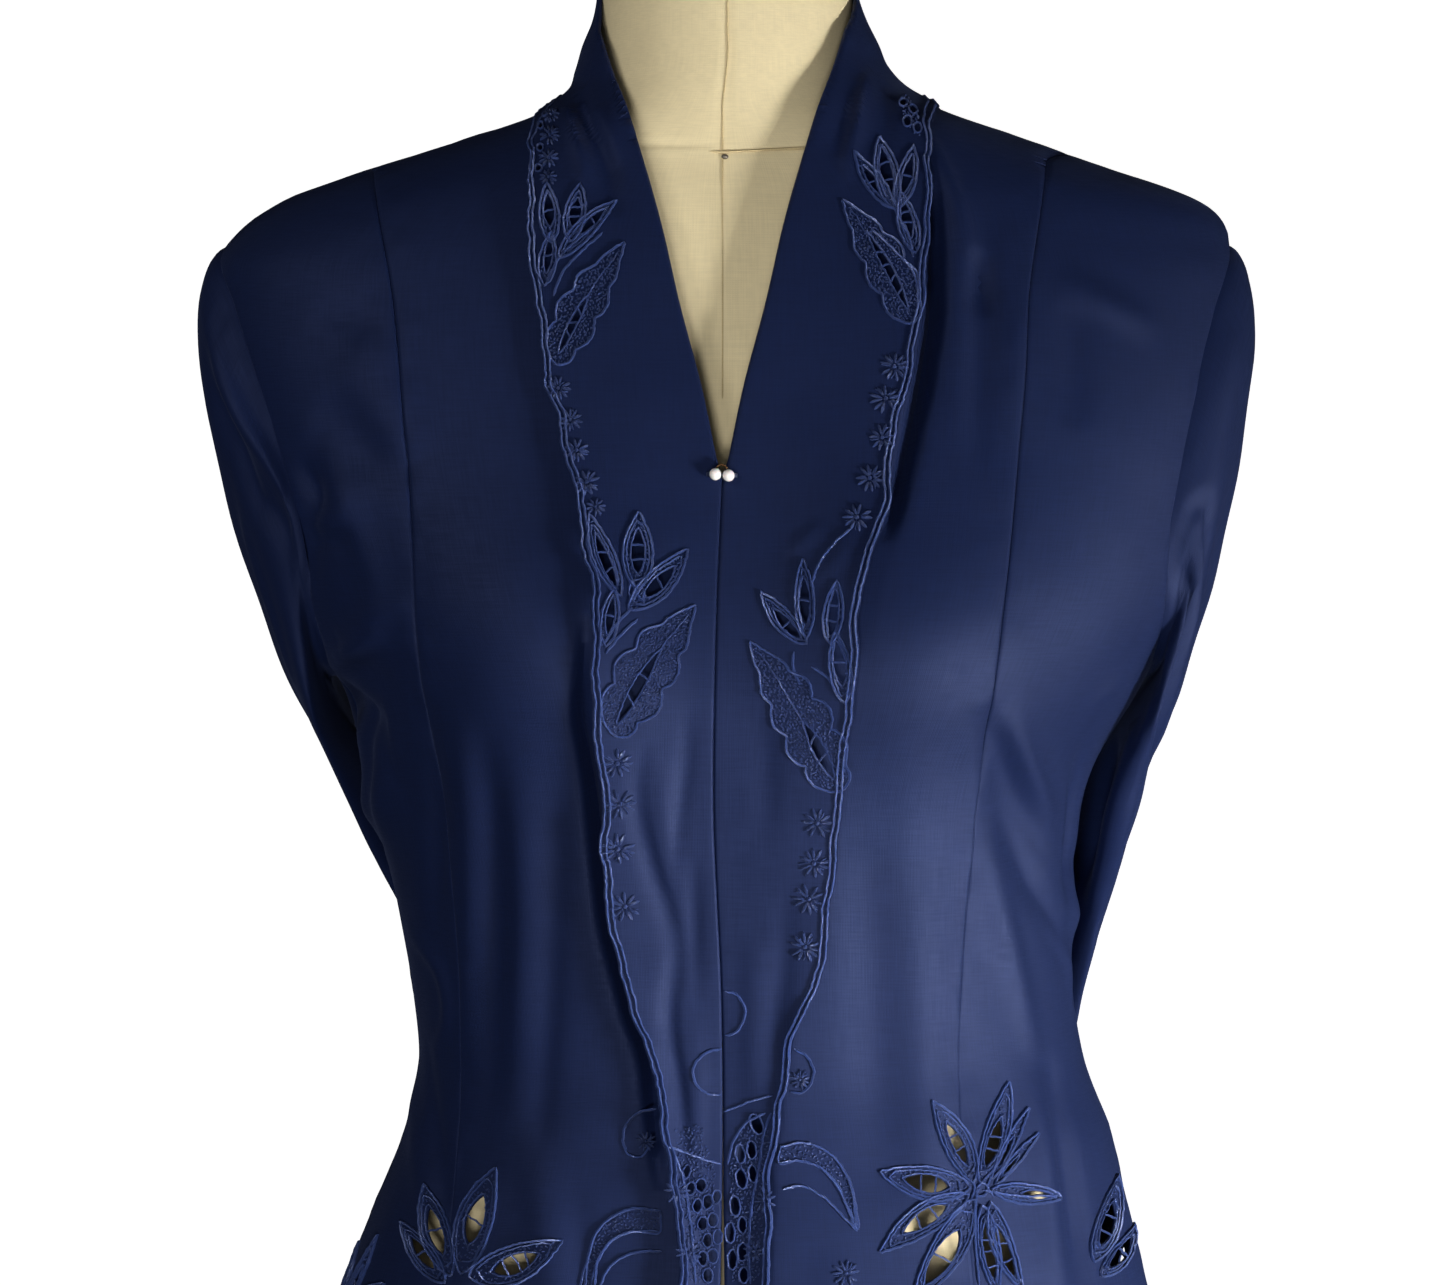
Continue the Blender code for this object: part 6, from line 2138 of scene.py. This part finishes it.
@dataclass
class DressForm:
    """Limbless torso covered in canvas, with its seams, that wears the blouse."""

    dyes: Dyes
    bust_out: float = 0.018
    arm_plate: float = 0.178
    around: int = 150
    up: int = 150
    neck_rows: int = 70
    seam_deep: float = 0.0006
    seam_wide: float = 0.0011
    sag: float = 0.00035
    neck_seam: tuple = ((0.0, 1.4045), (22.0, 1.4075), (42.0, 1.4125), (60.0, 1.4190), (90.0, 1.4290),
                        (135.0, 1.4350), (180.0, 1.4370))
    # Turn, height and size of each pin
    pins: tuple = ((0.4, 1.4026, 0.0030), (3.2, 1.3065, 0.0028))
    rows: Columns = field(default_factory=lambda: table(
        "z middle half front back square",
        (0.745, 0, 0.168, 0.108, 0.128, 2.2), (0.8, 0, 0.176, 0.112, 0.136, 2.2),
        (0.86, 0, 0.172, 0.112, 0.134, 2.2), (0.933, 0, 0.15, 0.104, 0.119, 2.2),
        (0.97, 0, 0.137, 0.099, 0.107, 2.2), (1, 0, 0.124, 0.095, 0.097, 2.2),
        (1.028, 0, 0.118, 0.092, 0.091, 2.2), (1.053, 0, 0.119, 0.093, 0.091, 2.2),
        (1.1, 0, 0.127, 0.098, 0.095, 2.2), (1.15, 0, 0.14, 0.104, 0.1, 2.2),
        (1.185, 0, 0.15, 0.105, 0.104, 2.2), (1.22, 0, 0.161, 0.102, 0.107, 2.2),
        (1.26, 0, 0.172, 0.095, 0.109, 2.2), (1.3, 0, 0.18, 0.086, 0.11, 2.2),
        (1.34, 0, 0.184, 0.075, 0.106, 2.2), (1.366, 0, 0.184, 0.067, 0.1, 2.1),
        (1.389, 0, 0.17, 0.059, 0.093, 2.05), (1.403, 0, 0.138, 0.054, 0.087, 2),
        (1.4165, 0, 0.0925, 0.052, 0.08, 2), (1.425, 0, 0.0695, 0.0515, 0.074, 2),
        (1.433, 0.001, 0.06, 0.0515, 0.068, 2), (1.443, 0.002, 0.056, 0.0515, 0.0625, 2),
        (1.46, 0.002, 0.0535, 0.051, 0.0565, 2), (1.475, 0.002, 0.0525, 0.0505, 0.054, 2),
        (1.5, 0.002, 0.052, 0.05, 0.052, 2), (1.515, 0.002, 0.052, 0.0495, 0.0515, 2),
    ))

    def point(self, turn: Array, z: Array) -> Array:
        """Give points of the smooth torso."""
        middle, half, front, back, square = (read(self.rows, name, z)
                                             for name in ("middle", "half", "front", "back", "square"))
        points = SHAPE.section(turn, z, (half, half), (front, back), square, self.bust_out)
        points[..., 0] = np.clip(points[..., 0] + middle, -self.arm_plate, self.arm_plate)
        return points

    def normal(self, turn: Array, z: Array) -> Array:
        """Give the torso's outward normals."""
        return normals_of(self.point, turn, z, 0.1, 0.0004)

    def seam_line(self) -> Line:
        """Give the seam round the base of the neck as turns and heights."""
        half = np.array(self.neck_seam)
        return smooth_line(np.concatenate((half, half[1:-1][::-1] * (-1, 1) + (360, 0))), 220)

    def build(self) -> list[Piece]:
        """Build the torso and its seams."""
        low, high = self.rows["z"][[0, -1]]
        heights = np.unique(np.concatenate((np.linspace(low, high, self.up),
                                            np.linspace(1.385, 1.50, self.neck_rows))))
        turn, z = np.meshgrid(np.linspace(0, 360, self.around, endpoint=False), heights)
        points = self.point(turn, z)
        arc = np.radians(np.minimum(turn, 360 - turn)) * 0.15
        quarter = np.abs((turn + 90) % 180 - 90) * np.pi / 180 * np.hypot(points[..., 0], points[..., 1])
        seam = self.seam_line()
        seam_z = np.interp(turn % 360, seam[:, 0], seam[:, 1])
        rise = -self.seam_deep * bell(quarter, self.seam_wide)
        rise = rise - self.seam_deep * bell(z - seam_z, self.seam_wide)
        rise = rise + self.sag * loose_noise(points.reshape(-1, 3), 0.05, 61).reshape(z.shape)
        shown = np.clip((heights - 1.37) / 0.04, 0, 1)[:, None]
        outer = points + self.normal(turn, z) * (rise * shown)[..., None]
        faces = ring_faces(*z.shape, ends=True, flip=True)
        places = np.stack((arc, z), axis=-1).reshape(-1, 2)
        torso = make_piece("canvas_torso", outer.reshape(-1, 3), faces, places, self.dyes["canvas"], 50.0)
        return [torso, self.build_seams(), self.build_pins()]

    def build_seams(self) -> Piece:
        """Build the raised threads of the seams at the centre front, the centre back and the neck."""
        soup = Soup()
        for turn, low in ((0.0, 1.30), (180.0, 1.39)):
            z = np.arange(low, 1.512, 0.003)
            normals = self.normal(np.full(len(z), turn), z)
            line = self.point(np.full(len(z), turn), z)
            tube(soup, line - normals * 0.0004, normals, 0.0008, 0.0006, sides=6)
        seam = self.seam_line()
        normals = self.normal(*seam.T)
        tube(soup, self.point(*seam.T) - normals * 0.0003, normals, 0.0010, 0.0007, closed=True, sides=6)
        return soup.build("canvas_seams", self.dyes["form_seam"])

    def build_pins(self) -> Piece:
        """Build the small pins where the seams meet and further down the neck."""
        soup = Soup()
        for turn, z, size in self.pins:
            turn, z = np.array([turn]), np.array([z])
            dome(soup, self.point(turn, z)[0], self.normal(turn, z)[0], np.array((1.0, 0.0, 0.0)), size,
                 size * 0.8, 0.0010, 12)
        return soup.build("form_pins", self.dyes["pin"], 50.0)


@dataclass
class Clasp:
    """Two pearls on thread loops with the small hook that holds the fronts together."""

    dyes: Dyes
    radius: float = 0.00245
    seat: float = 0.0007
    lapels: float = 0.0024
    rows: int = 30
    around: int = 40
    bore_rim: tuple[float, float] = (0.10, 0.12)
    bore_depth: tuple[float, float, float] = (0.55, 0.9, 0.9)
    # Across and up, from the middle of the front
    places: dict = field(default_factory=lambda: {Side.LEFT: (0.0024, 1.2701), Side.RIGHT: (-0.0028, 1.2706)})
    # Points of the thread from one pearl's outer side to its middle, and of the hook, from their middles
    thread: tuple = ((0.0036, 0.00305, 0.0), (0.0027, 0.0, 0.0), (0.0, 0.0, 0.0))
    hook: tuple = ((-0.0026, 0.0006, -0.0009), (-0.0018, -0.0003, 0.0002), (-0.0006, -0.0006, 0.0010),
                   (0.0008, -0.0006, 0.0008), (0.0018, -0.0002, 0.0000), (0.0024, 0.0006, -0.0010))

    def middle(self, side: Side) -> Array:
        """Give a pearl's middle."""
        x, z = self.places[side]
        turn, high = SHAPE.turn_at(np.array(x), np.array(z)), np.array(z)
        face = SHAPE.point(turn, high) + self.lapels * SHAPE.normal(turn, high)
        return np.array((x, face[1] - self.radius - self.seat, z))

    def build_pearl(self, side: Side) -> Piece:
        """Build one bead with its drilled hole."""
        ends = np.array(self.bore_rim)
        rest = ends[-1] + 0.04
        theta = np.concatenate((ends, np.linspace(rest, np.pi - rest, self.rows), np.pi - ends[::-1]))
        ring = np.linspace(0, 2 * np.pi, self.around, endpoint=False)
        rows = [np.stack((np.full(self.around, np.cos(angle)) * self.radius,
                          np.sin(angle) * self.radius * np.cos(ring),
                          np.sin(angle) * self.radius * np.sin(ring)), axis=-1) for angle in theta]
        points = np.array([rows[0] * self.bore_depth, *rows, rows[-1] * self.bore_depth]).reshape(-1, 3)
        unevenness = 1 + 0.012 * loose_noise(points, 0.004, 71 + side.value)
        middle = self.middle(side)
        points = points * unevenness[:, None] + middle
        faces = ring_faces(len(theta) + 2, self.around, ends=True, flip=True)
        return face_outwards(make_piece("bead_" + side.label, points, faces, points[:, ::2] - middle[::2],
                                        self.dyes["pearl"]))

    def build_thread(self) -> Piece:
        """Build the thread that runs through both pearls into the cloth."""
        soup = Soup()
        left, right = self.middle(Side.LEFT), self.middle(Side.RIGHT)
        half = np.array(self.thread)
        for low in (-0.00035, 0.00035):
            path = np.concatenate((left + half, [(left + right) / 2], right + half[::-1] * (-1, 1, 1)))
            line = smooth_line(path + (0.0, 0.0, low), 40)
            tube(soup, line, np.broadcast_to((0.0, 0.0, 1.0), line.shape), 0.0005, 0.0005, sides=6, sink=0.5)
        ring = np.linspace(0, 2 * np.pi, 18, endpoint=False)
        for middle in (left, right):
            base = middle + (0.0, self.radius + 0.0006, 0.0)
            line = base + np.stack((np.cos(ring) * 0.0021, 0 * ring, np.sin(ring) * 0.0021), axis=-1)
            ahead = np.broadcast_to((0.0, -1.0, 0.0), line.shape)
            tube(soup, line, ahead, 0.0009, 0.0007, closed=True, sides=6)
        return soup.build("clasp_thread", self.dyes["seam"])

    def build_hook(self) -> Piece:
        """Build the bent wire hook above the pearls."""
        soup = Soup()
        top = (self.middle(Side.LEFT) + self.middle(Side.RIGHT)) / 2 + (0, 0.0010, 0.0030)
        line = smooth_line(top + np.array(self.hook), 22)
        tube(soup, line, np.broadcast_to((0.0, -1.0, 0.0), line.shape), 0.0009, 0.0009, sides=8, sink=0.5)
        return soup.build("clasp_hook", self.dyes["hook"])

    def build(self) -> list[Piece]:
        """Build the whole clasp."""
        return [*map(self.build_pearl, Side), self.build_thread(), self.build_hook()]


@dataclass
class Stand:
    """The carried-over cap, pole and base of the form, which keep their shape and get better finishes."""

    dyes: Dyes

    def dress(self) -> None:
        """Give each node its finish."""
        for name, dye in (("form_neck_cap", "wood"), ("form_pole", "steel"), ("form_base", "paint")):
            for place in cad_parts[name].material_slots:
                place.material = self.dyes[dye]
            LOG.info("finish on %s: %s", name, dye)


@dataclass(frozen=True)
class Light:
    """One soft round light: its place, what it points at, its power in watts and its beam in degrees."""

    name: str
    place: tuple[float, float, float]
    aim: tuple[float, float, float]
    power: float
    spread: float = 180.0
    size: float = 0.6
    glossy: bool = True

    def build(self) -> None:
        """Hang the light, out of the camera's sight."""
        lamp = bpy.data.lights.new(self.name, "AREA")
        lamp.shape = "DISK"
        lamp.size = self.size
        lamp.energy = self.power
        lamp.spread = np.radians(self.spread)
        piece = bpy.data.objects.new(self.name, lamp)
        piece.visible_glossy = self.glossy
        piece.visible_camera = False
        piece.location = self.place
        piece.rotation_euler = (Vector(self.aim) - Vector(self.place)).to_track_quat("-Z", "Y").to_euler()
        bpy.context.scene.collection.objects.link(piece)


@dataclass
class Studio:
    """Pale floor, white backdrop, soft light and the camera of the picture."""

    far: float = 2.20
    height: float = 1.2035
    lens: float = 130.5
    floor: float = 2.6
    cove: float = 0.6
    walls: tuple[float, float] = (2.4, 3.4)
    around: int = 96
    white: Colour = (0.86, 0.86, 0.86)
    sky: Colour = (0.95, 0.97, 1.0)
    sky_power: float = 0.02
    lights: tuple[Light, ...] = (
        Light("key", (1.65, -1.25, 0.40), (0.06, 0.0, 0.80), 7.0, 42.0),
        Light("side", (2.2, -0.4, 0.9), (0.1, 0.0, 1.0), 1.5, 60.0),
        Light("fill", (0.05, -2.45, 1.25), (0.0, 0.0, 1.25), 1.7),
        Light("low", (-0.25, -2.35, 0.4), (0.0, 0.0, 1.1), 11.0, 120.0),
        Light("top", (-1.3, -1.2, 2.1), (0.0, 0.0, 1.2), 3.1, 120.0),
        Light("back", (0.0, 2.4, 1.2), (0.0, 0.1, 1.15), 22.0, size=0.35, glossy=False),
    )

    def build(self) -> None:
        """Set everything up."""
        self.build_sweep()
        for light in self.lights:
            light.build()
        scene = bpy.context.scene
        world = bpy.data.worlds.new("studio")
        world.use_nodes = True
        background = world.node_tree.nodes["Background"]
        NodeSheet(world.node_tree).tune(background, Color=self.sky, Strength=self.sky_power)
        scene.world = world
        scene.view_settings.view_transform = "Standard"
        camera = bpy.data.objects.new("camera", bpy.data.cameras.new("camera"))
        camera.data.lens = self.lens
        camera.data.sensor_width = 36.0
        camera.location = (0.0, -self.far, self.height)
        camera.rotation_euler = (np.pi / 2, 0.0, 0.0)
        scene.collection.objects.link(camera)
        scene.camera = camera

    def build_sweep(self) -> None:
        """Build the floor and the round white cove behind, which glow for the camera alone as painted light
        and can be seen through from outside.
        """
        angles = np.linspace(0, 2 * np.pi, self.around, endpoint=False)
        profile = [(0.0001, 0.0), (self.floor, 0.0)]
        profile += [(self.floor + self.cove * np.sin(a), self.cove - self.cove * np.cos(a))
                    for a in np.linspace(0.1, np.pi / 2, 14)]
        profile += [(self.floor + self.cove, z) for z in self.walls]
        rings = [np.stack((np.cos(angles) * r, np.sin(angles) * r, np.full(self.around, z)), axis=-1)
                 for r, z in profile]
        points = np.concatenate(rings)
        material = bpy.data.materials.new("studio_white")
        material.use_nodes = True
        shader = material.node_tree.nodes["Principled BSDF"]
        sheet = NodeSheet(material.node_tree)
        # Painted light: the sweep glows full white up the cove and a quarter as bright on the floor, darker
        # towards the bottom
        rise = sheet.spread(sheet.add("SeparateXYZ", Vector=sheet.place()).outputs[2], 0.0, 0.5, 0.25, 1.0)
        outside = sheet.add("NewGeometry").outputs["Backfacing"]
        sheet.tune(shader, Base_Color=self.white, Roughness=0.9, Emission_Strength=1.0,
                   Emission_Color=sheet.mix(rise, (0.0, 0.0, 0.0), (1.0, 1.0, 1.0)),
                   Alpha=sheet.spread(outside, 0.0, 1.0, 1.0, 0.0))
        faces = ring_faces(len(profile), self.around)
        sweep = make_piece("studio_sweep", points, faces, points[:, :2], material)
        sweep.visible_diffuse = False
        sweep.visible_glossy = False


def declare(piece: Piece, node: str | None) -> None:
    """Attach a piece to the root, hide the node that it stands for, if any, and log its faces."""
    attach(piece, "root")
    if node:
        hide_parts(node)
    LOG.info("%s: %d faces", piece.name, len(piece.data.polygons))


def main() -> None:
    """Build the studio, the form, the blouse, its embroidery and its clasp."""
    logging.basicConfig(level=logging.INFO, format="%(name)s: %(message)s")
    Studio().build()
    dyes = Dyes()
    cloth = Cloth()
    Stand(dyes).dress()
    for piece, node in zip(DressForm(dyes).build(), ("form_torso", None, None)):
        declare(piece, node)
    bands = {side: LapelBand(side, cloth, dyes) for side in Side}
    embroidery = Embroidery(cloth, bands, dyes)
    plans = embroidery.plan()
    worked = embroidery.work(plans)
    for ground, piece in worked.items():
        declare(piece, None)
    for panel, cut in Bodice(cloth, dyes, plans[Ground.BODICE].holes).build():
        declare(panel, cut.name)
    for side, ground in BAND_GROUNDS.items():
        band = bands[side].build(plans[ground].holes)
        declare(band, "lapel_" + side.label)
        sleeve = Sleeve(side, dyes).build()
        declare(sleeve, "sleeve_" + side.label)
    nodes = (("pearl_left", "pearl"), ("pearl_right", "pearl"), (None, "navy_band"), (None, "pole_steel"))
    for piece, (node, slot) in zip(Clasp(dyes).build(), nodes):
        declare(piece, node)


if __name__ == "__main__":
    main()
